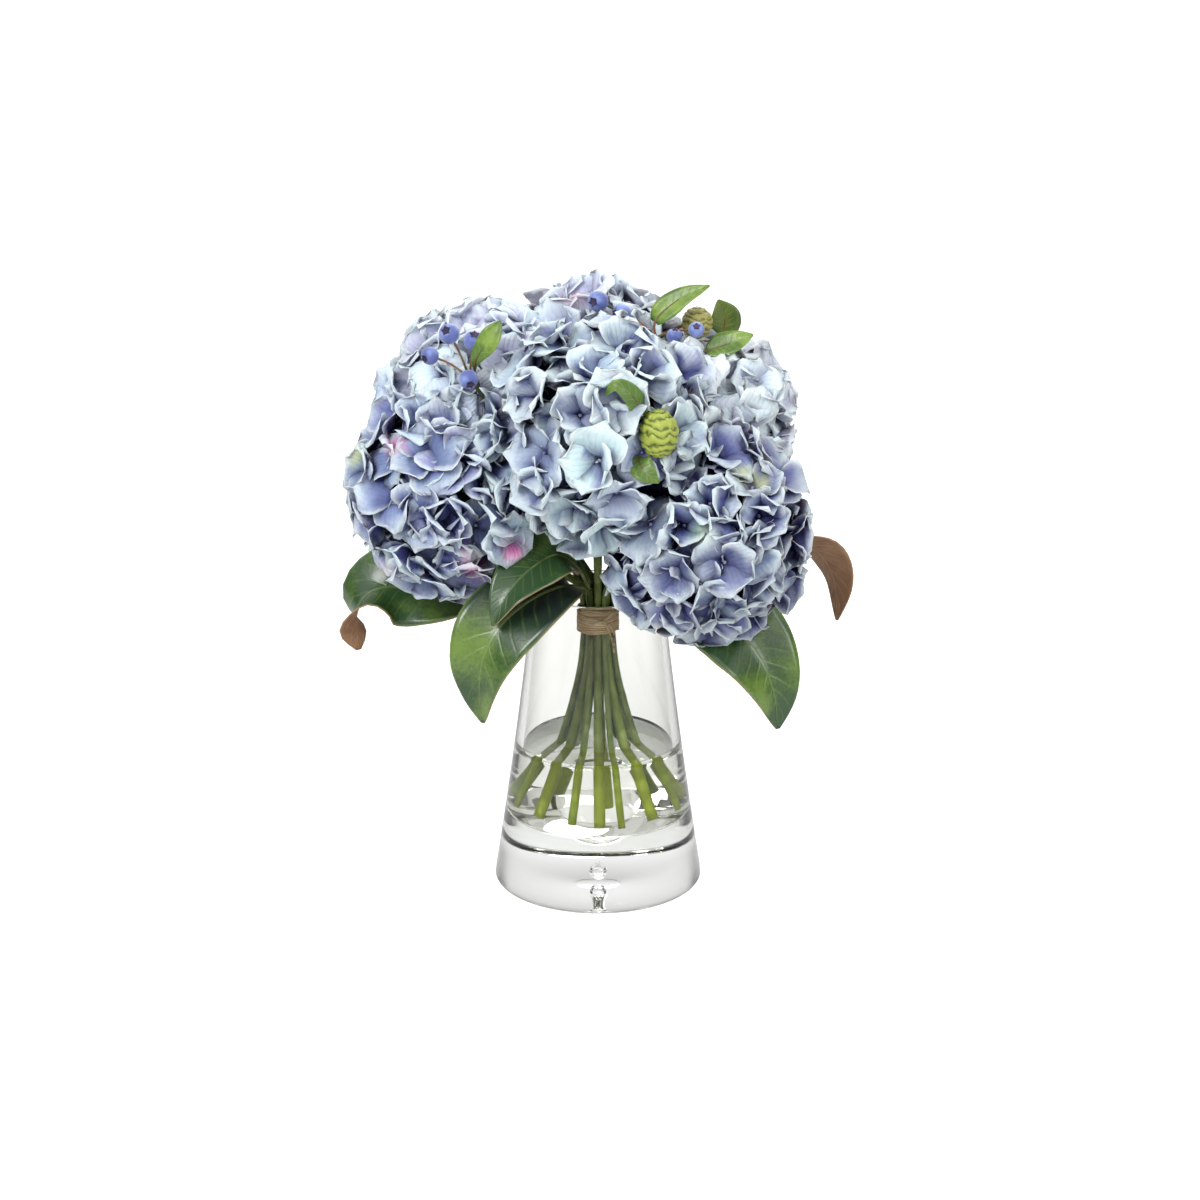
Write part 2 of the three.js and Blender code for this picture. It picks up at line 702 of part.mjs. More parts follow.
// The directions of a bloom's florets, even over the part of the ball that is clear of neighbours and stem.
function floretDirections(bloom, walls, tilt) {
  const towardsStem = vec(0, 0, tie.top).sub(bloom.centre);
  const open = evenDirections(floret.candidates)
    .map((even) => even.applyQuaternion(tilt))
    .filter((direction) => {
      const hub = hubAt(bloom, direction, walls);
      const room = Math.min(...walls.map(({ normal, offset }) => offset - hub.dot(normal)));
      return room > floret.hub / 2 && direction.angleTo(towardsStem) > radians(floret.stemAngle);
    });
  const ballArea = 4 * Math.PI * (bloom.radius - floret.rise) ** 2;
  const count = Math.round((open.length / floret.candidates) * ballArea / (0.866 * floret.spacing ** 2));
  let middles = [open[0]];
  while (middles.length < count) {
    const nearest = (direction) => Math.min(...middles.map((middle) => direction.angleTo(middle)));
    middles.push(open.reduce((a, b) => (nearest(b) > nearest(a) ? b : a)));
  }
  for (let round = 0; round < 20; round += 1) {
    const groups = middles.map(() => vec(0, 0, 0));
    for (const direction of open) {
      const angles = middles.map((middle) => direction.angleTo(middle));
      groups[angles.indexOf(Math.min(...angles))].add(direction);
    }
    middles = groups.map((sum) => sum.normalize());
  }
  return middles;
}

// The core under the florets: a ball whose corners stand in and out by turns, as shaded sepals would.
function crumpledCore(bloom) {
  const ball = new THREE.IcosahedronGeometry(1, 1);
  const corner = ball.attributes.position;
  for (let i = 0; i < corner.count; i++) {
    const p = new THREE.Vector3().fromBufferAttribute(corner, i).normalize();
    const crumple = floret.crumple * Math.sin(17.3 * p.x + 29.1 * p.y + 41.7 * p.z + bloom.centre.x);
    p.multiplyScalar(bloom.radius - floret.coreDepth + crumple);
    corner.setXYZ(i, p.x, p.y, p.z);
  }
  return ball;
}

function makeBloom(bloom, ownStem, obstacles, seed) {
  const draw = seededDraw(seed);
  const walls = neighbourWalls(bloom);
  const tilt = new THREE.Quaternion().setFromEuler(new THREE.Euler(draw() * 3, draw() * 3, draw() * 3));
  let core = solidFromGeometry(crumpledCore(bloom)).translate(bloom.centre.toArray());
  for (const { normal, offset } of walls) {
    core = core.trimByPlane(normal.clone().negate().toArray(), gap - offset);
  }
  const placed = [];
  for (const direction of floretDirections(bloom, walls, tilt)) {
    const shape = floretPoints(draw);
    const first = draw() * Math.PI;
    let best = null;
    for (const lift of floret.lifts) {
      for (const turn of floret.turns) {
        const solid = placedFloret(bloom, direction, first + radians(turn), lift, shape, walls);
        const blocked = obstacles.reduce((sum, other) => sum + overlapOf(solid, other), 0);
        const crossed = placed.reduce((sum, other) => sum + overlapOf(solid, other), 0);
        if (!best || 3 * blocked + crossed < best.cost) best = { solid, blocked, cost: 3 * blocked + crossed };
      }
    }
    if (best.blocked < floret.mostBlocked) placed.push(best.solid);
  }
  let solid = union([core, ...placed]);
  for (const cut of [ownStem, ...obstacles]) {
    if (overlapOf(solid, cut) > 0) solid = solid.subtract(cut);
  }
  return largestBody(solid);
}

// Assembly

addNode("vase", makeVase(), materials.glass);
addNode("raffia_tie", makeTie(), materials.raffia);

const thinStems = Object.entries(magnoliaStems).map(([name, stem]) => ({
  name: "magnolia_stem_" + name,
  solid: makeMagnoliaStem(stem, 0),
  grown: makeMagnoliaStem(stem, gap),
  look: materials.leaf,
}));
for (const [name, twig] of Object.entries(twigs)) {
  thinStems.push({ name, solid: makeTwig(twig, 0), grown: makeTwig(twig, gap), look: materials.twig });
}
thinStems.forEach(({ name, solid, look }) => addNode(name, solid, look));

const bloomStems = Object.values(blooms).map((bloom) => ({
  solid: makeBloomStem(bloom, 0),
  grown: makeBloomStem(bloom, gap),
}));
Object.keys(blooms).forEach((name, i) => addNode("bloom_stem_" + name, bloomStems[i].solid, materials.stem));

const obstacles = [makeMouthRoom(), ...thinStems.map(({ grown }) => grown)];
Object.keys(blooms).forEach((name, i) => {
  const others = bloomStems.filter((stem, j) => j !== i).map(({ grown }) => grown);
  const bloom = makeBloom(bloomList[i], bloomStems[i].grown, [...obstacles, ...others], 11 + i);
  addNode("hydrangea_" + name, bloom, materials.sepal);
});

let water = makeWater();
for (const { grown } of [...bloomStems, ...thinStems]) water = water.subtract(grown);
addNode("water", water, materials.water);

export default bouquet;
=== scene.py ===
import math
import random

import bmesh
import bpy
from mathutils.bvhtree import BVHTree
from mathutils import Matrix, Quaternion, Vector, noise


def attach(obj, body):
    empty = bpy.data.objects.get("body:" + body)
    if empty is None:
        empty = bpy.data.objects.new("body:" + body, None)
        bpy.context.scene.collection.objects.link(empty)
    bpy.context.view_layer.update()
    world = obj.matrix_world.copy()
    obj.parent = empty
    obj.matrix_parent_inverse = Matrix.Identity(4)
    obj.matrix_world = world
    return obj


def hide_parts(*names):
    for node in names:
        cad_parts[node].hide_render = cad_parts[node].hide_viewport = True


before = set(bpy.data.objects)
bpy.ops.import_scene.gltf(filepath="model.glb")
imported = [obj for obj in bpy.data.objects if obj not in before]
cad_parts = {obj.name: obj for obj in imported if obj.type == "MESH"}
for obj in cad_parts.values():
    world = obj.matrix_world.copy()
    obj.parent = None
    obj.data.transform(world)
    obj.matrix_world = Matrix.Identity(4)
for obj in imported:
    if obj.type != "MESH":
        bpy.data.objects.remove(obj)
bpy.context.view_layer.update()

mm = 0.001

# Lengths are in millimetres up to the moment a mesh is made, and z points up the vase's axis.
# Colours are red, green and blue, and get their alpha where they are set.


def mix(a, b, share):
    return a + (b - a) * share


def ease(low, high, value):
    t = min(1.0, max(0.0, (value - low) / (high - low)))
    return t * t * (3 - 2 * t)


def arc(x, z, wide, tall, start, end, steps):
    # points of an arc in the plane that is turned into a vessel, its ends in quarter turns up from +x
    angles = [math.pi / 2 * mix(start, end, i / steps) for i in range(steps + 1)]
    return [(x + wide * math.cos(a), z + tall * math.sin(a)) for a in angles]


def randomVector(draw, reach):
    return Vector([draw.uniform(-reach, reach) for axis in range(3)])


class Path:
    # a smooth curve through points, read by its length
    parts = 200

    def __init__(self, points):
        self.points = [Vector(p) for p in points]
        self.table = [0.0]
        last = self.at(0)
        for i in range(1, self.parts + 1):
            now = self.at(i / self.parts)
            self.table.append(self.table[-1] + (now - last).length)
            last = now

    def at(self, t):
        points = self.points
        place = (len(points) - 1) * t
        i = min(int(place), len(points) - 2)
        w = place - i
        p1 = points[i]
        p2 = points[i + 1]
        p0 = points[i - 1] if i > 0 else p1 * 2 - p2
        p3 = points[i + 2] if i + 2 < len(points) else p2 * 2 - p1
        d1 = (p1 - p2).length ** 0.5
        d0 = (p0 - p1).length ** 0.5
        d2 = (p2 - p3).length ** 0.5
        m1 = ((p1 - p0) / d0 - (p2 - p0) / (d0 + d1) + (p2 - p1) / d1) * d1
        m2 = ((p2 - p1) / d1 - (p3 - p1) / (d1 + d2) + (p3 - p2) / d2) * d1
        bend = p2 * 3 - p1 * 3 - m1 * 2 - m2
        turn = p1 * 2 - p2 * 2 + m1 + m2
        return p1 + m1 * w + bend * w * w + turn * w * w * w

    def atLength(self, share):
        goal = share * self.table[-1]
        low = 0
        while low < self.parts - 1 and self.table[low + 1] < goal:
            low += 1
        step = self.table[low + 1] - self.table[low]
        return self.at((low + (goal - self.table[low]) / max(step, 1e-9)) / self.parts)

    def tangent(self, share):
        a = self.atLength(max(0.0, share - 0.002))
        b = self.atLength(min(1.0, share + 0.002))
        return (b - a).normalized()

    def spaced(self, count):
        return [self.atLength(i / count) for i in range(count + 1)]


# Mesh tools

def ringMatrix(place, direction, radius):
    turn = Vector((0, 0, 1)).rotation_difference(direction).to_matrix().to_4x4()
    return Matrix.Translation(place) @ turn @ Matrix.Diagonal((radius, radius, radius, 1))


def sweep(bm, points, radii, sides, flat=1.0):
    # a closed bar along the points, round or flattened
    rings = []
    for i, place in enumerate(points):
        before = Vector(points[max(0, i - 1)])
        after = Vector(points[min(len(points) - 1, i + 1)])
        rings.append(ringMatrix(Vector(place), (after - before).normalized(), radii[i]))
    start = bmesh.ops.create_circle(bm, cap_ends=True, segments=sides, radius=1.0)["verts"]
    bmesh.ops.scale(bm, vec=(1, flat, 1), verts=start)
    bmesh.ops.transform(bm, matrix=rings[0], verts=start)
    face = start[0].link_faces[0]
    for last, now in zip(rings, rings[1:]):
        grown = bmesh.ops.extrude_face_region(bm, geom=[face])["geom"]
        verts = [item for item in grown if isinstance(item, bmesh.types.BMVert)]
        face = [item for item in grown if isinstance(item, bmesh.types.BMFace)][0]
        bmesh.ops.transform(bm, matrix=now @ last.inverted(), verts=verts)


def lathe(bm, profile, steps):
    verts = [bm.verts.new((x, 0, z)) for x, z in profile]
    edges = [bm.edges.new(pair) for pair in zip(verts, verts[1:])]
    bmesh.ops.spin(bm, geom=verts + edges, cent=(0, 0, 0), axis=(0, 0, 1), dvec=(0, 0, 0), angle=math.tau,
                   steps=steps, use_merge=True, use_normal_flip=False, use_duplicate=False)
    bmesh.ops.remove_doubles(bm, verts=bm.verts, dist=0.001)


def append(bm, other, slot=None):
    # puts a finished part into a piece, on one material slot or on the slots that its faces have
    if slot is not None:
        for face in other.faces:
            face.material_index = slot
    part = bpy.data.meshes.new("part")
    other.to_mesh(part)
    other.free()
    bm.from_mesh(part)
    bpy.data.meshes.remove(part)


def appendBar(bm, slot, points, radii, sides, flat=1.0):
    bar = bmesh.new()
    sweep(bar, points, radii, sides, flat)
    append(bm, bar, slot)


def finishPiece(name, bm, materials, nodes, recalc=True):
    if recalc:
        bmesh.ops.recalc_face_normals(bm, faces=bm.faces)
    bmesh.ops.scale(bm, vec=(mm, mm, mm), verts=bm.verts)
    mesh = bpy.data.meshes.new(name)
    bm.to_mesh(mesh)
    bm.free()
    mesh.shade_smooth()
    for material in materials:
        mesh.materials.append(material)
    piece = bpy.data.objects.new(name, mesh)
    bpy.context.scene.collection.objects.link(piece)
    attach(piece, "root")
    if nodes:
        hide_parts(*nodes)


# Material tools

class Wiring:
    # short ways to add and link the nodes of a material or a group
    def __init__(self, tree):
        self.tree = tree

    def add(self, kind, **settings):
        node = self.tree.nodes.new("ShaderNode" + kind)
        for key, value in settings.items():
            setattr(node, key, value)
        return node

    def link(self, source, target):
        self.tree.links.new(source, target)

    def put(self, socket, value):
        if isinstance(value, bpy.types.NodeSocket):
            self.link(value, socket)
        elif socket.type == "RGBA":
            socket.default_value = (*value, 1)
        else:
            socket.default_value = value

    def math(self, operation, a, b=0.0, clamp=False):
        node = self.add("Math", operation=operation, use_clamp=clamp)
        self.put(node.inputs[0], a)
        self.put(node.inputs[1], b)
        return node.outputs[0]

    def plus(self, a, b):
        return self.math("ADD", a, b)

    def less(self, a, b):
        return self.math("SUBTRACT", a, b)

    def times(self, a, b):
        return self.math("MULTIPLY", a, b)

    def sway(self, value, wave, amount):
        # a value that a noise moves up and down
        return self.plus(value, self.times(self.less(wave, 0.5), amount))

    def blend(self, share, a, b, kind="MIX"):
        node = self.add("Mix", data_type="RGBA", blend_type=kind)
        self.put(node.inputs[0], share)
        self.put(node.inputs[6], a)
        self.put(node.inputs[7], b)
        return node.outputs[2]

    def noise(self, scale, detail, where, rough=0.55):
        node = self.add("TexNoise")
        self.put(node.inputs["Scale"], scale)
        node.inputs["Detail"].default_value = detail
        node.inputs["Roughness"].default_value = rough
        self.link(where, node.inputs["Vector"])
        return node.outputs["Fac"]

    def objectCoords(self, scale=(1, 1, 1)):
        coords = self.add("TexCoord")
        mapping = self.add("Mapping")
        mapping.inputs["Scale"].default_value = scale
        self.link(coords.outputs["Object"], mapping.inputs["Vector"])
        return mapping.outputs["Vector"]

    def split(self, vector):
        parts = self.add("SeparateXYZ")
        self.link(vector, parts.inputs[0])
        return parts.outputs[:3]

    def bladeCoords(self, uvMap):
        # across a blade, along it, and how far from its midline
        u, v = self.split(self.add("UVMap", uv_map=uvMap).outputs["UV"])[:2]
        return u, v, self.math("ABSOLUTE", self.less(self.times(u, 2.0), 1.0))

    def step(self, value, low, high):
        node = self.add("MapRange", interpolation_type="SMOOTHSTEP")
        self.put(node.inputs["Value"], value)
        node.inputs["From Min"].default_value = low
        node.inputs["From Max"].default_value = high
        return node.outputs[0]

    def fall(self, value, low, high):
        return self.less(1.0, self.step(value, low, high))

    def group(self, tree, **values):
        node = self.add("Group", node_tree=tree)
        for key, value in values.items():
            self.put(node.inputs[key], value)
        return node

    def surface(self, shader, colour, height=None, distance=0.0, strength=1.0):
        # links a material's colour, and its bump where it has one
        self.link(colour, shader.inputs["Base Color"])
        if distance:
            node = self.add("Bump")
            node.inputs["Distance"].default_value = distance
            node.inputs["Strength"].default_value = strength
            self.link(height, node.inputs["Height"])
            self.link(node.outputs["Normal"], shader.inputs["Normal"])


def nodeGroup(name, inputs):
    # the wiring of a new group, what it is given and what it results in: a colour and a height
    tree = bpy.data.node_groups.new(name, "ShaderNodeTree")
    for label, value in inputs:
        kind = "NodeSocketColor" if isinstance(value, tuple) else "NodeSocketFloat"
        socket = tree.interface.new_socket(label, in_out="INPUT", socket_type=kind)
        socket.default_value = (*value, 1) if isinstance(value, tuple) else value
    for label, kind in (("Colour", "NodeSocketColor"), ("Height", "NodeSocketFloat")):
        tree.interface.new_socket(label, in_out="OUTPUT", socket_type=kind)
    return Wiring(tree), tree.nodes.new("NodeGroupInput").outputs, tree.nodes.new("NodeGroupOutput").inputs


def makeMottleGroup():
    # two colours in soft patches, with a fine grain over them
    w, given, result = nodeGroup("mottle", [
        ("Base", (0.5, 0.5, 0.5)), ("Patch", (0.3, 0.3, 0.3)), ("Size", 60.0), ("Amount", 1.0),
        ("Grain", 0.1),
    ])
    where = w.objectCoords()
    fine = w.noise(900.0, 2.0, where)
    patches = w.step(w.noise(given["Size"], 2.0, where, 0.5), 0.4, 0.66)
    colour = w.blend(w.math("MULTIPLY", patches, given["Amount"], True), given["Base"], given["Patch"])
    level = w.sway(1.0, fine, given["Grain"])
    grey = w.add("CombineColor")
    for channel in range(3):
        w.link(level, grey.inputs[channel])
    w.link(w.blend(1.0, colour, grey.outputs[0], "MULTIPLY"), result["Colour"])
    w.link(fine, result["Height"])
    return w.tree


def makeSepalGroup():
    # a sepal: painted shade at its heart, fine veins fanning out, and a pale rim, its own paler margin
    # brightened as a painted highlight where the sepal is open
    w, given, result = nodeGroup("sepalSurface", [
        ("Tint", (0.5, 0.55, 0.8)), ("Rim", (0.85, 0.9, 0.95)), ("Heart", (0.5, 0.45, 0.6)),
        ("RimShare", 0.6), ("VeinCount", 9.0), ("Open", 1.0),
    ])
    u, v, across = w.bladeCoords("sepal")
    wobble = w.noise(260.0, 2.0, w.objectCoords())
    turns = w.times(w.times(w.sway(u, wobble, 0.14), given["VeinCount"]), math.tau)
    vein = w.math("POWER", w.plus(w.times(w.math("SINE", turns), 0.5), 0.5), 3.0)
    edge = w.math("MAXIMUM", w.math("POWER", across, 2.0), v)
    # the pale rim is partly the sepal's own paler margin and partly a painted highlight: Open, the painted
    # shade's share, takes it away in hollows
    rim = w.times(w.times(w.step(w.sway(edge, wobble, 0.25), 0.36, 1.06), given["RimShare"]), given["Open"])
    # the heart is darkened as painted shade, and the veins take the same darker colour
    heartShadeAndVein = w.blend(1.0, given["Tint"], given["Heart"], "MULTIPLY")
    colour = w.blend(w.times(w.fall(v, 0.0, 0.55), 0.85), given["Tint"], heartShadeAndVein)
    colour = w.blend(w.times(vein, 0.1), colour, heartShadeAndVein)
    w.link(w.blend(rim, colour, given["Rim"]), result["Colour"])
    w.link(w.less(w.times(wobble, 0.7), w.times(vein, 0.5)), result["Height"])
    return w.tree


def makeLeafGroup():
    # a leaf blade: a midrib, side veins that lean towards the tip, soft patches of a second green, and
    # a painted shade over its base as far as ShadeReach, where the heads shadow it
    w, given, result = nodeGroup("leafSurface", [
        ("Blade", (0.05, 0.13, 0.03)), ("Patch", (0.2, 0.32, 0.05)), ("Vein", (0.3, 0.42, 0.15)),
        ("VeinCount", 11.0), ("VeinShare", 0.5), ("PatchSize", 28.0), ("BaseShade", 0.0),
        ("ShadeReach", 0.2),
    ])
    u, v, across = w.bladeCoords("leaf")
    where = w.objectCoords()
    wobble = w.noise(70.0, 2.0, where)
    grain = w.noise(500.0, 3.0, where)
    lean = w.sway(w.less(v, w.times(w.math("POWER", across, 0.8), 0.16)), wobble, 0.03)
    wave = w.math("COSINE", w.times(w.times(lean, given["VeinCount"]), math.tau))
    side = w.math("POWER", w.plus(w.times(wave, 0.5), 0.5), 14.0)
    side = w.times(w.times(side, w.fall(across, 0.5, 0.98)), 0.55)
    vein = w.math("MAXIMUM", side, w.fall(across, 0.015, 0.06))
    patch = w.step(w.sway(w.noise(given["PatchSize"], 3.0, where, 0.5), grain, 0.2), 0.42, 0.68)
    colour = w.blend(patch, given["Blade"], given["Patch"])
    # painted shade: the base of the blade goes near black as far as ShadeReach
    near = w.less(w.sway(v, wobble, 0.3), given["ShadeReach"])
    base = w.times(w.fall(near, -0.2, 0.2), given["BaseShade"])
    colour = w.blend(base, colour, (0.009, 0.016, 0.018))
    colour = w.blend(w.times(vein, given["VeinShare"]), colour, given["Vein"])
    margin = w.times(w.step(across, 0.93, 1.0), 0.5)
    w.link(w.blend(margin, colour, given["Vein"]), result["Colour"])
    w.link(w.less(w.times(grain, 0.25), w.times(vein, 0.8)), result["Height"])
    return w.tree


mottle = makeMottleGroup()
sepalSurface = makeSepalGroup()
leafSurface = makeLeafGroup()


def newMaterial(name, **values):
    material = bpy.data.materials.new(name)
    material.use_nodes = True
    wiring = Wiring(material.node_tree)
    shader = material.node_tree.nodes["Principled BSDF"]
    for key, value in values.items():
        wiring.put(shader.inputs[key.replace("_", " ")], value)
    return material, wiring, shader


def mottledMaterial(name, surface, bump=0.0, strength=1.0, **values):
    material, w, shader = newMaterial(name, **values)
    skin = w.group(mottle, **surface).outputs
    w.surface(shader, skin["Colour"], skin["Height"], bump, strength)
    return material


# The vase

vase = {
    "height": 201.0, "footRadius": 68.6, "rimRadius": 42.3, "waist": 1.3, "footRounding": 5.0,
    "wallAtRim": 3.2, "wallAtFloor": 6.8, "floor": 48.0, "floorRounding": 3.2,
    "bowlRadius": 18.0, "bowlDepth": 20.0, "bowlBrim": [(0.2, -0.6), (1.8, 0.0)],
    "puntRadius": 10.0, "puntDepth": 1.0, "puntBrim": 0.8, "outside": range(12, 200, 7), "insideFrom": 56,
    "rise": 7, "steps": 128,
}
bubble = {"height": 9.5, "radius": 4.2, "stretch": 1.5, "sharp": 0.6}


def outerRadius(z):
    t = (z - vase["footRounding"]) / (vase["height"] - vase["footRounding"])
    return mix(vase["footRadius"], vase["rimRadius"], t) - vase["waist"] * 4 * t * (1 - t)


def innerRadius(z):
    t = (z - vase["floor"]) / (vase["height"] - vase["floor"])
    return outerRadius(z) - mix(vase["wallAtFloor"], vase["wallAtRim"], t)


def cavityProfile(top, inset):
    # from the bottom of the bowl in the floor, over its brim, out to the corner and up the wall
    floor = vase["floor"] - inset
    radius = vase["bowlRadius"]
    rounding = vase["floorRounding"]
    bowl = arc(0, floor, radius, vase["bowlDepth"], -1, 0, 12)[:-1]
    brim = [(radius + out, floor + up) for out, up in vase["bowlBrim"]]
    wall = innerRadius(vase["floor"] + rounding) + inset
    corner = arc(wall - rounding, floor + rounding, rounding, rounding, -1, 0, 8)
    heights = list(range(vase["insideFrom"], int(top), vase["rise"])) + [top]
    return bowl + brim + corner + [(innerRadius(z) + inset, z) for z in heights]


# edge is a painted grey shade that the glass and the water take on where they are seen edge-on
glass = {"tint": (0.965, 0.968, 0.95), "edge": (0.5, 0.5, 0.475), "ior": 1.5}
stillWater = {"tint": (0.97, 0.975, 0.95), "edge": (0.2, 0.2, 0.165), "ior": 1.333}
air = {"tint": (1, 1, 1), "edge": None, "ior": 1 / glass["ior"]}
clearLook = {"gloss": (0.4, 0.4, 0.4), "shadow": (0.93, 0.95, 0.94)}


def clearMaterial(name, tint, edge, ior):
    # clear, with a painted grey shade where it is seen edge-on, and lets most light through in shadows
    material, w, shader = newMaterial(name, Base_Color=tint, Roughness=0.0, IOR=ior, Transmission_Weight=1.0,
                                      Specular_Tint=clearLook["gloss"])
    if edge:
        facing = w.add("LayerWeight")
        facing.inputs["Blend"].default_value = 0.5
        w.surface(shader, w.blend(w.step(facing.outputs["Facing"], 0.28, 0.85), tint, edge))
    through = w.add("BsdfTransparent")
    w.put(through.inputs["Color"], clearLook["shadow"])
    choose = w.add("MixShader")
    w.link(w.add("LightPath").outputs["Is Shadow Ray"], choose.inputs[0])
    w.link(shader.outputs[0], choose.inputs[1])
    w.link(through.outputs[0], choose.inputs[2])
    w.link(choose.outputs[0], material.node_tree.nodes["Material Output"].inputs["Surface"])
    return material


def makeVase():
    foot = vase["footRounding"]
    half = vase["wallAtRim"] / 2
    punt = arc(0, 0, vase["puntRadius"], vase["puntDepth"], 1, 0, 10)[:-1]
    base = [(vase["puntRadius"] + vase["puntBrim"], 0.0), (vase["footRadius"] - foot, 0.0)]
    edge = arc(vase["footRadius"] - foot, foot, foot, foot, -1, 0, 8)[1:]
    wall = [(outerRadius(z), z) for z in vase["outside"]]
    lip = arc(vase["rimRadius"] - half, vase["height"] - half, half, half, 0, 2, 10)
    inside = list(reversed(cavityProfile(vase["height"] - half - 1, 0.0)))
    bm = bmesh.new()
    lathe(bm, punt + base + edge + wall + lip + inside, vase["steps"])
    finishPiece("vaseGlass", bm, [clearMaterial("clearGlass", **glass)], ["vase"])


def makeBubble():
    bm = bmesh.new()
    bmesh.ops.create_uvsphere(bm, u_segments=32, v_segments=20, radius=1.0)
    for v in bm.verts:
        narrow = 1 - bubble["sharp"] * max(0.0, v.co.z) ** 1.5
        v.co = Vector((v.co.x * narrow, v.co.y * narrow, v.co.z * bubble["stretch"]))
    bmesh.ops.scale(bm, vec=[bubble["radius"]] * 3, verts=bm.verts)
    bmesh.ops.translate(bm, vec=(0, 0, bubble["height"]), verts=bm.verts)
    finishPiece("airBubble", bm, [clearMaterial("trappedAir", **air)], [])


water = {"level": 96.0, "overlap": 0.2, "creep": 1.12, "creepReach": 1.1, "creepStep": 0.6,
         "surface": (30, 10, 0)}


def makeWater():
    # laps a little into the glass, and creeps up its wall
    level = water["level"]
    wide = innerRadius(level) + water["overlap"]
    inward = [i * water["creepStep"] for i in range(8)]
    edge = [(wide - far, level + water["creep"] * math.exp(-far / water["creepReach"])) for far in inward]
    surface = [(radius, level) for radius in water["surface"]]
    bm = bmesh.new()
    lathe(bm, cavityProfile(level - 4, water["overlap"]) + edge + surface, vase["steps"])
    finishPiece("vaseWater", bm, [clearMaterial("stillWater", **stillWater)], ["water"])


# Stems: tied at the mouth of the vase, spread to its floor, and parting above

fan = {"levels": [50, 74, 99, 124, 150], "power": 1.6, "tieBottom": 172.0, "tieTop": 190.0,
       "partHeight": 203.0, "spread": 2.2, "firstAngle": 12.0, "places": 7, "lowerSteps": 26,
       "upperSteps": 24}
# Each joint is its height, half length and swelling
stemLook = {"bloom": {"radius": 2.6, "ring": 6.4}, "leafy": {"radius": 1.9, "ring": 9.75},
            "twig": {"radius": 1.7, "ring": 9.7}, "sides": 14, "joints": [(128, 3.5, 0.12), (222, 4, 0.15)],
            "soaked": {"full": 95, "none": 150, "swelling": 0.28}, "uneven": 0.05}


def bundlePlace(slot, ring):
    if slot == "middle":
        return Vector((0, 0))
    angle = math.radians(fan["firstAngle"] + 360 / fan["places"] * slot)
    return Vector((ring * math.cos(angle), ring * math.sin(angle)))


def lowerStem(place, foot):
    # from the vase's floor up to the tie
    bottom = fan["tieBottom"]
    points = []
    for z in fan["levels"]:
        share = ((bottom - z) / (bottom - fan["levels"][0])) ** fan["power"]
        points.append((mix(place.x, foot[0], share), mix(place.y, foot[1], share), z))
    return Path(points + [(place.x, place.y, bottom)]).spaced(fan["lowerSteps"])


def tiePoint(place):
    return Vector((place.x, place.y, fan["tieTop"]))


def partingPoint(place):
    lean = 1 + fan["spread"] / max(1.0, place.length)
    return Vector((place.x * lean, place.y * lean, fan["partHeight"]))


def stemPoints(place, foot, above):
    upper = Path([tiePoint(place), partingPoint(place)] + above).spaced(fan["upperSteps"])
    return lowerStem(place, foot) + upper


def stemRadii(points, radius):
    # a little uneven, swelling at the joints and under water
    soaked = stemLook["soaked"]
    radii = []
    for p in points:
        swelling = sum(more * math.exp(-((p[2] - z) / half) ** 2) for z, half, more in stemLook["joints"])
        swelling += soaked["swelling"] * (1 - ease(soaked["full"], soaked["none"], p[2]))
        radii.append(radius * (1 + swelling + stemLook["uneven"] * noise.noise(p * 0.05)))
    return radii


def makeStemMaterial(name, dry, dark, wet):
    # a smooth green stem with darker fibres along it, of another green below the water
    material, w, shader = newMaterial(name, Roughness=0.5, Specular_IOR_Level=0.25)
    fibres = w.noise(1.0, 3.0, w.objectCoords((900, 900, 26)))
    blotch = w.group(mottle, Base=dry, Patch=dark, Size=45.0, Amount=0.8, Grain=0.25).outputs["Colour"]
    height = w.split(w.objectCoords())[2]
    above = w.blend(w.times(w.step(fibres, 0.45, 0.75), 0.3), blotch, dark)
    below = w.blend(w.times(w.step(fibres, 0.45, 0.7), 0.3), wet, dark)
    w.surface(shader, w.blend(w.fall(height, 0.093, 0.1), above, below), fibres, 0.0004, 0.6)
    return material


stemGreen = makeStemMaterial("stemGreen", (0.19, 0.235, 0.07), (0.1, 0.14, 0.03), (0.17, 0.21, 0.0))
stemBlue = makeStemMaterial("stemBluish", (0.1, 0.155, 0.13), (0.055, 0.095, 0.08), (0.13, 0.18, 0.0))
stemLime = makeStemMaterial("stemLime", (0.24, 0.31, 0.08), (0.13, 0.19, 0.03), (0.22, 0.27, 0.0))
stemMaterials = {"topLeft": stemBlue, "backRight": stemBlue, "right": stemLime, "top": stemLime}

blooms = {
    "topRight": {"centre": (71, 20, 311), "radius": 59, "trim": -6, "slot": 0, "foot": (37, 17)},
    "backRight": {"centre": (57, 70, 266), "radius": 62, "slot": 1, "foot": (20, 36)},
    "backLeft": {"centre": (-58, 72, 268), "radius": 62, "slot": 2, "foot": (-16, 38)},
    "topLeft": {"centre": (-74, 18, 328), "radius": 62, "trim": -5, "slot": 3, "foot": (-37, 20)},
    "left": {"centre": (-92, -20, 271), "radius": 64, "slot": 4, "foot": (-33, -18),
             "bend": [(-18, -13, 212), (-40, -19, 229)]},
    "front": {"centre": (0, -44, 315), "radius": 70, "slot": 5, "foot": (1, -36)},
    "right": {"centre": (66, -50, 251), "radius": 66, "slot": 6, "foot": (31, -22)},
    "top": {"centre": (-2, 42, 339), "radius": 61, "trim": -5, "slot": "middle", "foot": (4, 8)},
}


def nodeOf(kind, name):
    # the solid that a bloom's piece replaces: topRight is top_right there
    return kind + "".join("_" + letter.lower() if letter.isupper() else letter for letter in name)


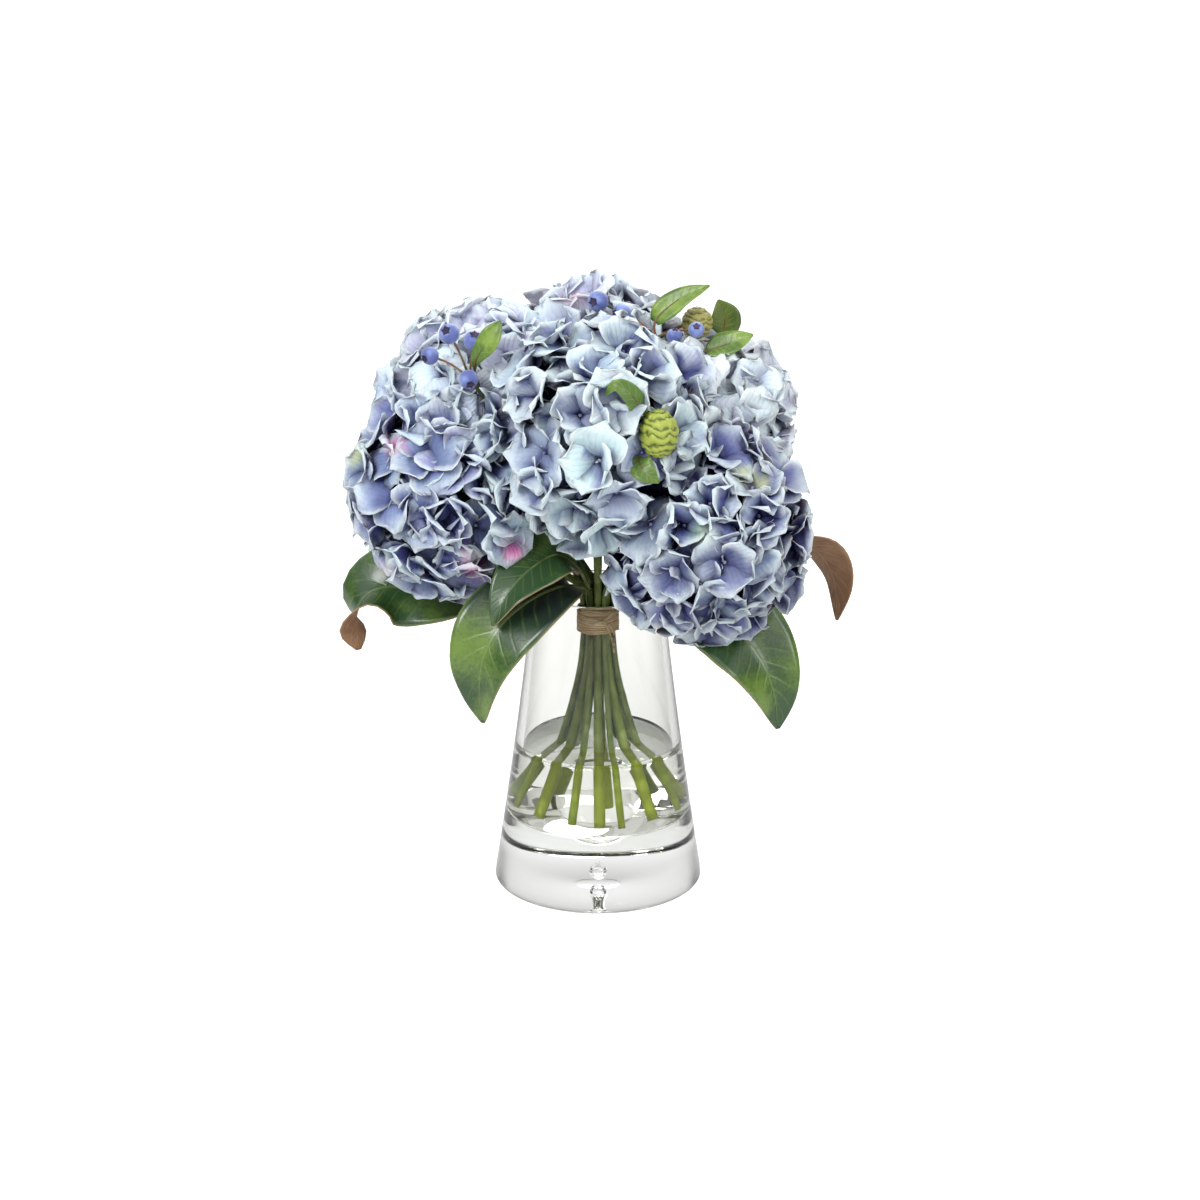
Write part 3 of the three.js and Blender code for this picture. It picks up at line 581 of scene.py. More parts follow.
def makeBloomStem(name, bloom):
    place = bundlePlace(bloom["slot"], stemLook["bloom"]["ring"])
    start = partingPoint(place)
    centre = Vector(bloom["centre"])
    above = bloom.get("bend", [start.lerp(centre, 0.4)]) + [start.lerp(centre, 0.8)]
    points = stemPoints(place, bloom["foot"], above)
    bm = bmesh.new()
    sweep(bm, points, stemRadii(points, stemLook["bloom"]["radius"]), stemLook["sides"])
    material = stemMaterials.get(name, stemGreen)
    finishPiece(name + "BloomStem", bm, [material], [nodeOf("bloom_stem_", name)])


# Leaves

leafForm = {"fold": 0.25, "crease": 0.1, "wave": 0.1, "waves": 9, "ripple": 0.012, "ripples": 31,
            "widest": 0.8, "blunt": 0.85, "narrowest": 0.5, "shadeReach": 0.2}
bigLeaf = {"cells": 26, "across": 12, "thickness": 0.9, "stalk": 1.3}
smallLeaf = {"cells": 14, "across": 6, "thickness": 0.7, "stalk": 0.8}


def leafBlade(form, kind, path):
    # a grid that is laid along the midrib, folded and waved, and given its thickness
    form = {**leafForm, **form}
    start = form["start"]
    faces = Path(form["facing"])
    bm = bmesh.new()
    bm.loops.layers.uv.new("leaf")
    shadeReach = bm.verts.layers.float.new("shadeReach")
    bmesh.ops.create_grid(bm, x_segments=kind["across"], y_segments=kind["cells"], size=1.0, calc_uvs=True)
    rows = {}
    for v in bm.verts:
        s = v.co.x
        along = (v.co.y + 1) / 2
        key = round(along, 5)
        if key not in rows:
            t = mix(start, 1, along)
            tangent = path.tangent(t)
            normal = faces.at(t)
            normal = (normal - tangent * normal.dot(tangent)).normalized()
            rows[key] = (path.atLength(t), normal, normal.cross(tangent))
        place, normal, side = rows[key]
        outline = math.sin(math.pi * (0.04 + 0.95 * along) ** form["widest"]) ** form["blunt"]
        width = max(form["narrowest"], form["half"] * outline)
        crease = form["fold"] * (math.sqrt(s * s + form["crease"] ** 2) - form["crease"])
        wave = form["wave"] * math.sin(along * form["waves"] + (0 if s > 0 else 2))
        ripple = form["ripple"] * math.sin(along * form["ripples"] + 3 * s)
        v.co = place + side * (s * width) + normal * width * (crease + s * s * (wave + ripple))
        # how far up the blade its painted shade reaches
        v[shadeReach] = form["shadeReach"]
    bmesh.ops.recalc_face_normals(bm, faces=bm.faces)
    middle = bm.faces[:][len(bm.faces) // 2]
    if middle.normal.dot(faces.at(mix(start, 1, 0.5))) < 0:
        bmesh.ops.reverse_faces(bm, faces=bm.faces)
    upper = set(bm.faces)
    bmesh.ops.solidify(bm, geom=bm.faces[:], thickness=kind["thickness"])
    return bm, upper


def leafInto(bm, form, kind, upperSlot, underSlot, stalkSlot):
    # a blade, and the stalk that runs on under it as a thinning midrib
    path = Path(form["midrib"])
    blade, upper = leafBlade(form, kind, path)
    for face in blade.faces:
        face.material_index = upperSlot if face in upper else underSlot
    append(bm, blade)
    steps = 16
    end = mix(form["start"], 1, 0.5)
    points = [path.atLength(end * i / steps) for i in range(steps + 1)]
    radii = [kind["stalk"] * mix(1.0, 0.3, ease(0.45, 1.0, i / steps)) for i in range(steps + 1)]
    appendBar(bm, stalkSlot, points, radii, 8)


leafColours = {
    "magnolia": {"Blade": (0.022, 0.062, 0.016), "Patch": (0.13, 0.22, 0.032), "Vein": (0.2, 0.3, 0.07),
                 "VeinCount": 12.0, "VeinShare": 0.3, "PatchSize": 20.0, "BaseShade": 0.85},
    "under": {"Blade": (0.2, 0.1, 0.05), "Patch": (0.3, 0.17, 0.09), "Vein": (0.38, 0.24, 0.13),
              "VeinCount": 12.0, "VeinShare": 0.6, "PatchSize": 40.0},
    "small": {"Blade": (0.075, 0.15, 0.018), "Patch": (0.19, 0.3, 0.035), "Vein": (0.3, 0.42, 0.12),
              "VeinCount": 8.0, "VeinShare": 0.5, "PatchSize": 60.0},
    "smallDark": {"Blade": (0.055, 0.095, 0.008), "Patch": (0.11, 0.16, 0.012), "Vein": (0.14, 0.2, 0.03),
                  "VeinCount": 8.0, "VeinShare": 0.4, "PatchSize": 60.0},
}


def makeLeafMaterial(name, colours, rough, coat):
    material, w, shader = newMaterial(name, Roughness=rough, Coat_Weight=coat, Coat_Roughness=0.18)
    reach = w.add("Attribute", attribute_name="shadeReach").outputs["Fac"]
    skin = w.group(leafSurface, **colours, ShadeReach=reach).outputs
    w.surface(shader, skin["Colour"], skin["Height"], 0.0006, 0.7)
    return material


magnoliaGreen = makeLeafMaterial("magnoliaGreen", leafColours["magnolia"], 0.34, 0.4)
magnoliaRust = makeLeafMaterial("magnoliaUnderside", leafColours["under"], 0.8, 0.0)
twigLeaf = makeLeafMaterial("twigLeaf", leafColours["small"], 0.42, 0.15)
twigLeafDark = makeLeafMaterial("twigLeafDark", leafColours["smallDark"], 0.42, 0.15)
stalkMaterial = makeStemMaterial("leafStalk", (0.17, 0.22, 0.07), (0.09, 0.13, 0.03), (0.17, 0.22, 0.0))

magnoliaStems = {
    "leftLeafyStem": {"node": "magnolia_stem_left", "slot": 4.5, "foot": (-15, -31), "leaves": [
        {"midrib": [(-14, -16, 203), (-32, -18, 208), (-62, -13, 203), (-92, -8, 199), (-118, -6, 202),
                    (-138, -8, 204), (-152, -12, 198), (-157, -16, 182), (-155, -18, 165)],
         "facing": [(0, -0.3, 1), (0, -0.5, 0.9), (-0.1, -0.8, 0.6), (-0.2, -0.85, 0.5),
                    (-0.75, -0.45, 0.45), (-0.35, 0.93, 0)], "half": 26, "start": 0.33, "widest": 1.15},
        {"midrib": [(-13, -29, 224), (-27, -48, 238), (-45, -64, 231), (-58, -74, 218), (-66, -79, 201)],
         "facing": [(0.3, -0.6, 0.7), (0.2, -0.6, 0.7), (0, -0.7, 0.7), (-0.3, -0.75, 0.5),
                    (-0.4, -0.85, 0.3)], "half": 19, "start": 0.25, "shadeReach": 0.0},
        {"midrib": [(-13, -25, 210), (-26, -44, 215), (-45, -60, 210), (-62, -71, 197), (-72, -75, 178),
                    (-75, -75, 155), (-73, -72, 134)],
         "facing": [(0.2, -0.2, 1), (0.1, -0.4, 0.9), (-0.1, -0.7, 0.75), (-0.3, -0.85, 0.45),
                    (-0.4, -0.9, 0.1), (-0.45, -0.9, 0)], "half": 27, "start": 0.16, "shadeReach": 0.45},
    ]},
    "rightLeafyStem": {"node": "magnolia_stem_right", "slot": 6.5, "foot": (44, -6), "leaves": [
        {"midrib": [(32, -19, 208), (61, -40, 202), (85, -50, 191), (103, -56, 171), (112, -58, 149),
                    (115, -58, 125)],
         "facing": [(0.2, -0.2, 1), (0.2, -0.4, 0.9), (0.35, -0.7, 0.6), (0.4, -0.85, 0.35),
                    (0.45, -0.85, 0.2)],
         "half": 31, "start": 0.3, "fold": 0.3, "widest": 0.7, "shadeReach": 0.15},
        {"midrib": [(34, 8, 211), (64, 24, 216), (100, 36, 222), (127, 42, 221), (147, 46, 211),
                    (158, 49, 190), (160, 51, 163)],
         "facing": [(0, 0, 1), (0, -0.1, 1), (0.05, -0.2, 1), (0.4, 0.3, 0.85), (0.7, 0.6, 0.4),
                    (0.75, 0.65, 0.1)], "half": 22, "start": 0.42},
    ]},
    "backLeafyStem": {"node": "magnolia_stem_back", "slot": 1.5, "foot": (2, 40), "leaves": [
        {"midrib": [(14, 34, 209), (40, 66, 201), (62, 94, 190), (76, 112, 170), (82, 120, 145)],
         "facing": [(0, 0.3, 1), (0.2, 0.4, 0.9), (0.4, 0.6, 0.7), (0.5, 0.8, 0.3), (0.5, 0.85, 0)],
         "half": 25, "start": 0.32},
        {"midrib": [(-16, 34, 210), (-46, 66, 203), (-76, 92, 196), (-98, 108, 180), (-108, 114, 156)],
         "facing": [(0, 0.3, 1), (-0.2, 0.4, 0.9), (-0.4, 0.6, 0.7), (-0.5, 0.8, 0.3), (-0.5, 0.85, 0)],
         "half": 24, "start": 0.3},
    ]},
}


def makeLeafyStem(name, stem):
    place = bundlePlace(stem["slot"], stemLook["leafy"]["ring"])
    top = partingPoint(place)
    points = lowerStem(place, stem["foot"]) + [tiePoint(place), top]
    bm = bmesh.new()
    bm.loops.layers.uv.new("leaf")
    bm.verts.layers.float.new("shadeReach")
    appendBar(bm, 2, points, stemRadii(points, stemLook["leafy"]["radius"]), stemLook["sides"])
    for form in stem["leaves"]:
        leafInto(bm, {**form, "midrib": [top] + form["midrib"]}, bigLeaf, 0, 1, 2)
    materials = [magnoliaGreen, magnoliaRust, stalkMaterial]
    finishPiece(name, bm, materials, [stem["node"]])


# Twigs of blueberries and pods

berryForm = {"stalk": 0.8, "flat": 0.93, "sink": 0.16, "crownFloor": 0.3, "lobes": 5, "lobeWidth": 0.15,
             "lobeInner": 0.24, "lobeBase": 0.78, "lobeLength": 0.2, "lobeThickness": 0.07}
podForm = {"rows": 8, "lobes": 9, "depth": 0.06, "stalk": 1.3, "wander": 0.6, "waver": 0.3, "arch": 0.16,
           "stagger": 2.4}


def makePodMaterial(name, low, high):
    # lime scales over darker furrows, by how far each point stands out
    material, w, shader = newMaterial(name, Roughness=0.5, Coat_Weight=0.1)
    ridge = w.add("Attribute", attribute_name="ridge").outputs["Fac"]
    grain = w.noise(420.0, 3.0, w.objectCoords())
    w.surface(shader, w.blend(w.step(w.sway(ridge, grain, 0.3), 0.0, 0.65), low, high), grain, 0.0004, 0.6)
    return material


berrySkin = mottledMaterial(
    "blueberrySkin", {"Base": (0.07, 0.1, 0.33), "Patch": (0.18, 0.25, 0.55), "Size": 110.0, "Grain": 0.3},
    0.0002, 0.4, Roughness=0.5, Sheen_Weight=0.35, Sheen_Roughness=0.6)
berryCrown = mottledMaterial(
    "blueberryCrown",
    {"Base": (0.02, 0.015, 0.045), "Patch": (0.08, 0.05, 0.12), "Size": 200.0, "Grain": 0.3}, Roughness=0.75)
twigBark = mottledMaterial(
    "twigBark", {"Base": (0.22, 0.1, 0.05), "Patch": (0.1, 0.12, 0.04), "Size": 70.0, "Amount": 0.9,
                 "Grain": 0.5}, 0.0004, Roughness=0.7)
podLime = makePodMaterial("podLime", (0.07, 0.1, 0.006), (0.34, 0.4, 0.06))
podOlive = makePodMaterial("podOlive", (0.12, 0.1, 0.03), (0.32, 0.3, 0.08))

# Each berry is its place, radius and the way its crown looks, and each pod its place, radius and height
twigs = {
    "leftBerryTwig": {
        "node": "berry_twig_left", "slot": 3.5, "foot": (-43, 0),
        "shoot": [(-16, -2, 215), (-34, -8, 262), (-54, -22, 305), (-80, -37, 350)],
        "berries": [((-92, -42, 379), 6.6, (-0.3, -0.7, 0.5)), ((-77, -40, 374), 6.5, (0.1, -0.5, 0.85)),
                    ((-104, -46, 366), 5.8, (-0.6, -0.7, -0.2)), ((-80, -50, 352), 6.2, (0.2, -0.8, -0.4))],
        "leaves": [{"midrib": [(-74, -33, 342), (-76, -46, 362), (-68, -48, 375), (-60, -46, 388)],
                    "facing": [(0.2, -0.9, 0.3), (-0.1, -0.9, 0.4), (-0.3, -0.9, 0.3)], "half": 7.0,
                    "start": 0.3, "widest": 1.5}],
        "pods": [], "podMaterial": podLime,
    },
    "frontPodTwig": {
        "node": "pod_twig_front", "slot": 5.5, "foot": (14, -38),
        "shoot": [(14, -18, 222), (26, -36, 262), (32, -58, 296), (36, -84, 324)],
        "berries": [],
        "leaves": [
            {"midrib": [(35, -80, 320), (27, -95, 341), (20, -101, 355), (11, -103, 361), (4, -100, 354)],
             "facing": [(-0.2, -0.8, 0.5), (0, -0.85, 0.5), (-0.2, -0.8, 0.6), (-0.5, -0.8, 0.4)],
             "half": 6.0, "start": 0.34},
            {"midrib": [(35, -80, 318), (25, -100, 314), (28, -107, 309), (37, -110, 302)],
             "facing": [(-0.3, -0.9, 0.3), (-0.2, -0.9, 0.4), (-0.1, -0.9, 0.5)], "half": 7.5,
             "start": 0.42},
        ],
        "pods": [((37, -99, 330), 11.7, 29)], "podMaterial": podLime,
    },
    "topBerryTwig": {
        "node": "berry_twig_top", "slot": 0.5, "foot": (31, 30),
        "shoot": [(16, 13, 222), (26, 15, 272), (33, 9, 325), (38, 4, 366)],
        "berries": [((0, -2, 391), 6.7, (-0.5, -0.8, 0.1)), ((15, -6, 384), 6.2, (-0.8, -0.5, 0.1)),
                    ((62, -8, 374), 5.2, (0, -0.7, 0.6)), ((48, -12, 371), 5.0, (0.1, -0.2, 0.95))],
        "leaves": [
            {"midrib": [(38, 4, 362), (36, -4, 378), (50, -4, 392), (70, -6, 402)],
             "facing": [(-0.5, -0.8, 0.3), (-0.4, -0.8, 0.4), (-0.2, -0.7, 0.6)], "half": 8.0, "start": 0.3,
             "widest": 0.68},
            {"midrib": [(38, 5, 362), (60, 21, 360), (78, 22, 362), (81, 22, 374), (77, 22, 387)],
             "facing": [(-0.3, -0.8, 0.5), (0.1, -0.9, 0.4), (0.2, -0.9, 0.2)], "half": 10.5, "start": 0.66,
             "dark": True},
            {"midrib": [(38, 3, 361), (62, -2, 358), (80, -3, 363), (98, -4, 370)],
             "facing": [(0, -0.6, 0.8), (0.1, -0.7, 0.7), (0.2, -0.8, 0.6)], "half": 8.5, "start": 0.5},
        ],
        "pods": [((63, 8, 375), 9.7, 20)], "podMaterial": podOlive,
    },
}


def makeBerry(centre, radius, crownWay, skinSlot, crownSlot):
    # a round berry whose blossom end is sunk, with a star of dark lobes round it
    form = berryForm
    bm = bmesh.new()
    bmesh.ops.create_uvsphere(bm, u_segments=20, v_segments=16, radius=1.0)
    for v in bm.verts:
        v.co.z = v.co.z * form["flat"] - form["sink"] * ease(0.9, 1.0, v.co.z)
    for face in bm.faces:
        sunk = face.calc_center_median().to_2d().length < form["crownFloor"] and face.normal.z > 0
        face.material_index = crownSlot if sunk else skinSlot
    crown = bmesh.new()
    for k in range(form["lobes"]):
        lobe = bmesh.ops.create_grid(crown, x_segments=2, y_segments=3, size=1.0)["verts"]
        for v in lobe:
            along = (v.co.y + 1) / 2
            out = form["lobeLength"] * along
            v.co = Vector((v.co.x * form["lobeWidth"] * (1 - 0.75 * along), form["lobeInner"] + out,
                           form["lobeBase"] + out))
        turn = Matrix.Rotation(math.tau * k / form["lobes"], 3, "Z")
        bmesh.ops.rotate(crown, cent=(0, 0, 0), matrix=turn, verts=lobe)
    bmesh.ops.solidify(crown, geom=crown.faces[:], thickness=form["lobeThickness"])
    append(bm, crown, crownSlot)
    place = ringMatrix(Vector(centre), Vector(crownWay).normalized(), radius)
    bmesh.ops.transform(bm, matrix=place, verts=bm.verts)
    return bm


def makePod(centre, radius, height):
    # an egg with wavy rows of raised scales round it
    bm = bmesh.new()
    bmesh.ops.create_uvsphere(bm, u_segments=72, v_segments=64, radius=1.0)
    ridge = bm.verts.layers.float.new("ridge")
    for v in bm.verts:
        around = math.atan2(v.co.y, v.co.x)
        down = math.acos(max(-1.0, min(1.0, v.co.z))) / math.pi
        row = down * podForm["rows"] + podForm["wander"] * noise.noise(v.co * 1.7)
        row += podForm["waver"] * noise.noise(v.co * 5.0)
        turns = around * podForm["lobes"] / 2 + podForm["stagger"] * math.floor(row)
        turns += 2 * noise.noise(v.co * 3.0)
        row += podForm["arch"] * abs(math.cos(turns))
        scale = (1 - abs(2 * (row % 1) - 1) ** 1.6) * (0.7 + 0.3 * abs(math.sin(turns)))
        fade = ease(0.0, 0.12, down) * ease(0.0, 0.1, 1 - down)
        v[ridge] = scale
        v.co *= 1 + podForm["depth"] * (scale - 0.5) * 2 * fade
        v.co = Vector((v.co.x * radius, v.co.y * radius, v.co.z * height / 2))
    bmesh.ops.translate(bm, vec=centre, verts=bm.verts)
    return bm


def makeTwig(name, twig):
    place = bundlePlace(twig["slot"], stemLook["twig"]["ring"])
    points = stemPoints(place, twig["foot"], twig["shoot"])
    radii = [mix(1.0, 0.62, ease(200, 350, p[2])) * r
             for p, r in zip(points, stemRadii(points, stemLook["twig"]["radius"]))]
    fork = Vector(twig["shoot"][-1])
    bm = bmesh.new()
    bm.loops.layers.uv.new("leaf")
    bm.verts.layers.float.new("ridge")
    bm.verts.layers.float.new("shadeReach")
    materials = [stalkMaterial, twigBark, twigLeaf, twigLeafDark, berrySkin, berryCrown, twig["podMaterial"]]
    slots = {material.name: slot for slot, material in enumerate(materials)}
    appendBar(bm, slots["leafStalk"], points, radii, 10)
    fruits = [(berry[0], berryForm["stalk"]) for berry in twig["berries"]]
    fruits += [(pod[0], podForm["stalk"]) for pod in twig["pods"]]
    for centre, thick in fruits:
        middle = fork.lerp(Vector(centre), 0.5) + Vector((0, 0, 2))
        radii = [thick * (1.15 - 0.3 * math.sin(math.pi * k / 8)) for k in range(9)]
        appendBar(bm, slots["twigBark"], Path([fork, middle, centre]).spaced(8), radii, 8)
    for berry in twig["berries"]:
        append(bm, makeBerry(*berry, slots["blueberrySkin"], slots["blueberryCrown"]))
    for pod in twig["pods"]:
        append(bm, makePod(*pod), slots[twig["podMaterial"].name])
    for form in twig["leaves"]:
        blade = slots["twigLeafDark" if form.get("dark") else "twigLeaf"]
        leafInto(bm, form, smallLeaf, blade, blade, slots["twigBark"])
    finishPiece(name, bm, materials, [twig["node"]])


# The tie

raffia = {"radius": 12.9, "bottom": 173.0, "turns": 11, "pitch": 1.5, "wide": 0.8, "thick": 1.0, "steps": 56,
          "fray": 0.5, "slip": 0.55, "looseWidth": (0.9, 1.2), "looseSteps": 14, "dark": (0.13, 0.07, 0.025),
          "surface": {"Base": (0.56, 0.39, 0.19), "Patch": (0.74, 0.56, 0.33), "Size": 60.0, "Amount": 0.8,
                      "Grain": 0.3},
          "ends": [[(4, -13.6, 182), (8.6, -12.6, 178), (10.6, -11.8, 172), (9.7, -12.8, 166),
                    (10.4, -13.0, 161)],
                   [(3, -13.8, 183), (7.0, -13.4, 177), (8.6, -12.6, 171), (10.6, -12.4, 166)],
                   [(-3, -13.8, 180), (3, -14.6, 183), (8, -12.8, 186), (11, -10.4, 190)]]}


def makeRaffiaMaterial():
    material, w, shader = newMaterial("raffiaFibre", Roughness=0.75)
    fibres = w.noise(1.0, 4.0, w.objectCoords((40, 40, 480)), 0.7)
    patch = w.group(mottle, **raffia["surface"]).outputs["Colour"]
    lines = w.times(w.step(fibres, 0.48, 0.66), 0.8)
    w.surface(shader, w.blend(lines, patch, raffia["dark"]), fibres, 0.0006)
    return material


def makeTie():
    # a strand wound round the stems, then its loose ends
    bm = bmesh.new()
    draw = random.Random(5)
    strand = bmesh.ops.create_circle(bm, cap_ends=True, segments=10, radius=1.0)["verts"]
    bmesh.ops.scale(bm, vec=(raffia["thick"], raffia["wide"], 1), verts=strand)
    bmesh.ops.rotate(bm, cent=(0, 0, 0), matrix=Matrix.Rotation(math.pi / 2, 3, "X"), verts=strand)
    bmesh.ops.translate(bm, vec=(raffia["radius"], 0, raffia["bottom"]), verts=strand)
    steps = raffia["steps"] * raffia["turns"]
    bmesh.ops.spin(bm, geom=[strand[0].link_faces[0]], cent=(0, 0, 0), axis=(0, 0, 1),
                   dvec=(0, 0, raffia["pitch"] * raffia["turns"] / steps), angle=math.tau * raffia["turns"],
                   steps=steps, use_merge=False, use_normal_flip=False, use_duplicate=False)
    for v in bm.verts:
        outward = Vector((v.co.x, v.co.y, 0)).normalized()
        fray = noise.noise(Vector((v.co.x * 0.1, v.co.y * 0.1, v.co.z * 0.45)))
        v.co += outward * raffia["fray"] * fray
        v.co.z += raffia["slip"] * noise.noise(Vector((v.co.x * 0.08 + 7, v.co.y * 0.08, v.co.z * 0.3)))
    steps = raffia["looseSteps"]
    for line in raffia["ends"]:
        width = draw.uniform(*raffia["looseWidth"])
        radii = [width * (1 - 0.4 * i / steps) for i in range(steps + 1)]
        appendBar(bm, 0, Path(line).spaced(steps), radii, 8, flat=0.45)
    finishPiece("raffiaWinding", bm, [makeRaffiaMaterial()], ["raffia_tie"])


# The hydrangea heads

# Pairs are the ends that a random draw lies between
sepalForm = {
    "kinds": 20, "sepals": 4, "across": 4, "along": 6, "thickness": 0.4, "length": 25.5,
    "lengths": (0.86, 1.1), "width": 0.6, "widths": (0.9, 1.15), "phase": (0, 6), "open": (12, 58),
    "openEach": (-14, 14), "curl": (-35, 80), "spoon": (-0.15, 0.4), "ruffle": (0.07, 0.17),
    "ruffles": 6.5, "lean": (0.04, 0.2), "turn": (-0.12, 0.12), "inner": 1.2, "stack": 0.2, "widest": 1.2,
    "blunt": 0.52, "notch": 0.15,
}
head = {"outer": 56, "inner": 46, "hubDepth": 12.5, "innerDepth": 21.0, "innerSize": 0.85, "coreDepth": 26.0,
        "hubShift": (-3.0, 2.5), "sizes": (0.88, 1.1), "uneven": 0.1, "tilt": 0.36, "wallRoom": 2.0,
        "stemAngle": 20.0, "swell": 11.0, "swellWidth": 10.0, "cross": 4.0, "crossFold": 0.6, "reach": 3.0,
        "reachFold": 0.5, "swellShare": 0.8}
# the painted shade in the heads' hollows: its darkest and its middle colour, and how each point looks out
shade = {"deep": (0.006, 0.009, 0.05), "dusk": (0.085, 0.1, 0.3), "sight": 16.0, "looks": 6, "start": 0.9,
         "ahead": 9.0, "behindHead": 0.35, "headRoom": 7.0, "clear": (0.1, 0.75)}


def makeSepalMaterial():
    material, w, shader = newMaterial("hydrangeaSepal", Roughness=0.6, Specular_IOR_Level=0.2,
                                      Subsurface_Weight=0.1, Subsurface_Scale=0.002)
    # tint holds the floret's colour with its painted shade, and in its alpha how open the point is; Heart is
    # painted shade, Rim partly a painted highlight
    tint = w.add("Attribute", attribute_name="tint").outputs
    skin = w.group(sepalSurface, Tint=tint["Color"], Rim=(0.72, 0.8, 0.82), Heart=(0.45, 0.42, 0.58),
                   RimShare=0.85, Open=tint["Alpha"]).outputs
    w.surface(shader, skin["Colour"], skin["Height"], 0.0007, 0.6)
    return material


# a near-black core inside each head: painted shade between the florets
paintedShadeCoreMaterial = mottledMaterial(
    "shadedHeart", {"Base": (0.008, 0.012, 0.04), "Patch": (0.02, 0.035, 0.05), "Size": 90.0, "Grain": 0.4},
    Roughness=0.9, Specular_IOR_Level=0.1)
eyeMaterial = mottledMaterial(
    "floretEye", {"Base": (0.1, 0.1, 0.3), "Patch": (0.5, 0.55, 0.62), "Size": 300.0, "Amount": 0.7,
                  "Grain": 0.3}, Roughness=0.6)
pedicelMaterial = makeStemMaterial("floretStalk", (0.2, 0.28, 0.2), (0.1, 0.16, 0.14), (0.3, 0.4, 0.1))
headMaterials = [makeSepalMaterial(), paintedShadeCoreMaterial, eyeMaterial, pedicelMaterial]

# Colours of each head: its own blue, partly its real colour and partly painted light and shade, lighter on
# the top heads and darker on the low ones; the paler blue that some florets lean to and how often they do;
# how much sooner its painted shade darkens towards its inside; and how far that painted shade keeps to its
# own blue
headTintsAndShades = {
    "front": ((0.33, 0.39, 0.55), (0.53, 0.67, 0.67), 0.6, 0.1, 0.1),
    "left": ((0.2, 0.235, 0.44), (0.34, 0.46, 0.56), 0.45, 0.12, 0.0),
    "right": ((0.15, 0.165, 0.31), (0.24, 0.31, 0.38), 0.45, 0.2, 0.0),
    "topLeft": ((0.54, 0.6, 0.78), (0.71, 0.8, 0.85), 0.55, -0.05, 0.6),
    "topRight": ((0.64, 0.67, 0.79), (0.78, 0.83, 0.86), 0.55, -0.09, 0.9),
    "top": ((0.55, 0.59, 0.73), (0.7, 0.78, 0.81), 0.6, -0.04, 0.6),
}
backTintAndShade = ((0.24, 0.28, 0.46), (0.38, 0.5, 0.58), 0.45, 0.06, 0.1)
tintDraws = {"mixed": 0.45, "share": (-0.25, 0.25), "bright": (0.84, 1.16), "red": (0.92, 1.1)}
# A few sepals are touched with pink or with yellow-green: where, how wide, and the colour
touches = [
    ((-127, -60, 313), 9, (0.72, 0.25, 0.5)), ((-136, -30, 219), 9, (0.66, 0.28, 0.5)),
    ((-78, -50, 232), 11, (0.72, 0.25, 0.5)), ((-52, -50, 240), 12, (0.76, 0.22, 0.5)),
    ((-15, 20, 388), 8, (0.72, 0.3, 0.5)), ((-153, -20, 296), 9, (0.6, 0.68, 0.3)),
    ((91, -90, 302), 9, (0.62, 0.7, 0.3)), ((101, -85, 295), 8, (0.62, 0.7, 0.32)),
    ((64, -100, 266), 9, (0.34, 0.5, 0.3)),
]
touchDepth = 40
# Extra florets that fill the valleys between heads: place, facing and size
fillers = {
    "front": [((50, -32, 351), (0.4, -0.75, 0.6), 1.0), ((-58, -62, 304), (-0.45, -0.85, 0.2), 0.9)],
    "left": [((-124, -12, 316), (-0.7, -0.6, 0.5), 1.0)],
    "topLeft": [((-128, 6, 330), (-0.85, -0.5, 0.1), 1.0)],
    "topRight": [((62, -20, 358), (0.05, -0.8, 0.6), 1.0)],
}
press = {"towardsViewer": (0, -0.954, 0.3), "share": 0.6, "near": 18.0, "wide": 1.5, "dome": 0.9,
         "flank": 3.2, "past": 1.6, "pastReach": 6.0, "berryRoom": 0.8, "podRoom": 1.0, "leafShare": 0.7,
         "leafPlaces": (0.55, 0.7, 0.85, 0.97)}


def makeSepal(draw, openness, k):
    # one broad sepal of a floret: a grid that is rounded, cupped, curled and ruffled
    form = sepalForm
    bm = bmesh.new()
    bm.loops.layers.uv.new("sepal")
    bmesh.ops.create_grid(bm, x_segments=form["across"], y_segments=form["along"], size=1.0, calc_uvs=True)
    size = form["length"] * draw.uniform(*form["lengths"])
    wide = form["width"] * draw.uniform(*form["widths"])
    phase = draw.uniform(*form["phase"])
    rise = math.radians(openness + draw.uniform(*form["openEach"]))
    curl = math.radians(draw.uniform(*form["curl"]))
    curl = curl if abs(curl) > 0.1 else 0.1
    spoon = draw.uniform(*form["spoon"])
    ruffle = draw.uniform(*form["ruffle"]) * size
    lean = draw.uniform(*form["lean"])
    for v in bm.verts:
        s = v.co.x
        along = (v.co.y + 1) / 2
        outline = math.sin(math.pi * (0.05 + 0.94 * along) ** form["widest"]) ** form["blunt"]
        far = along * (1 - form["notch"] * s * s * along)
        slope = rise - curl * far
        reach = size * (math.sin(rise) - math.sin(slope)) / curl
        height = size * (math.cos(slope) - math.cos(rise)) / curl
        side = size * wide * outline * s
        wave = math.sin(form["ruffles"] * along + phase + 1.7 * s)
        lift = ruffle * abs(s) ** 1.6 * (0.3 + along) * wave + spoon * side * s
        v.co = Vector((form["inner"] + reach - lift * math.sin(slope), side,
                       height + lift * math.cos(slope) + lean * side + form["stack"] * k))
    turn = math.tau * k / form["sepals"] + draw.uniform(*form["turn"])
    bmesh.ops.rotate(bm, cent=(0, 0, 0), verts=bm.verts, matrix=Matrix.Rotation(turn, 3, "Z"))
    bm.normal_update()
    lower = bmesh.ops.extrude_face_region(bm, geom=bm.faces[:], use_keep_orig=True)["geom"]
    for v in [item for item in lower if isinstance(item, bmesh.types.BMVert)]:
        v.co -= v.normal * form["thickness"]
    return bm


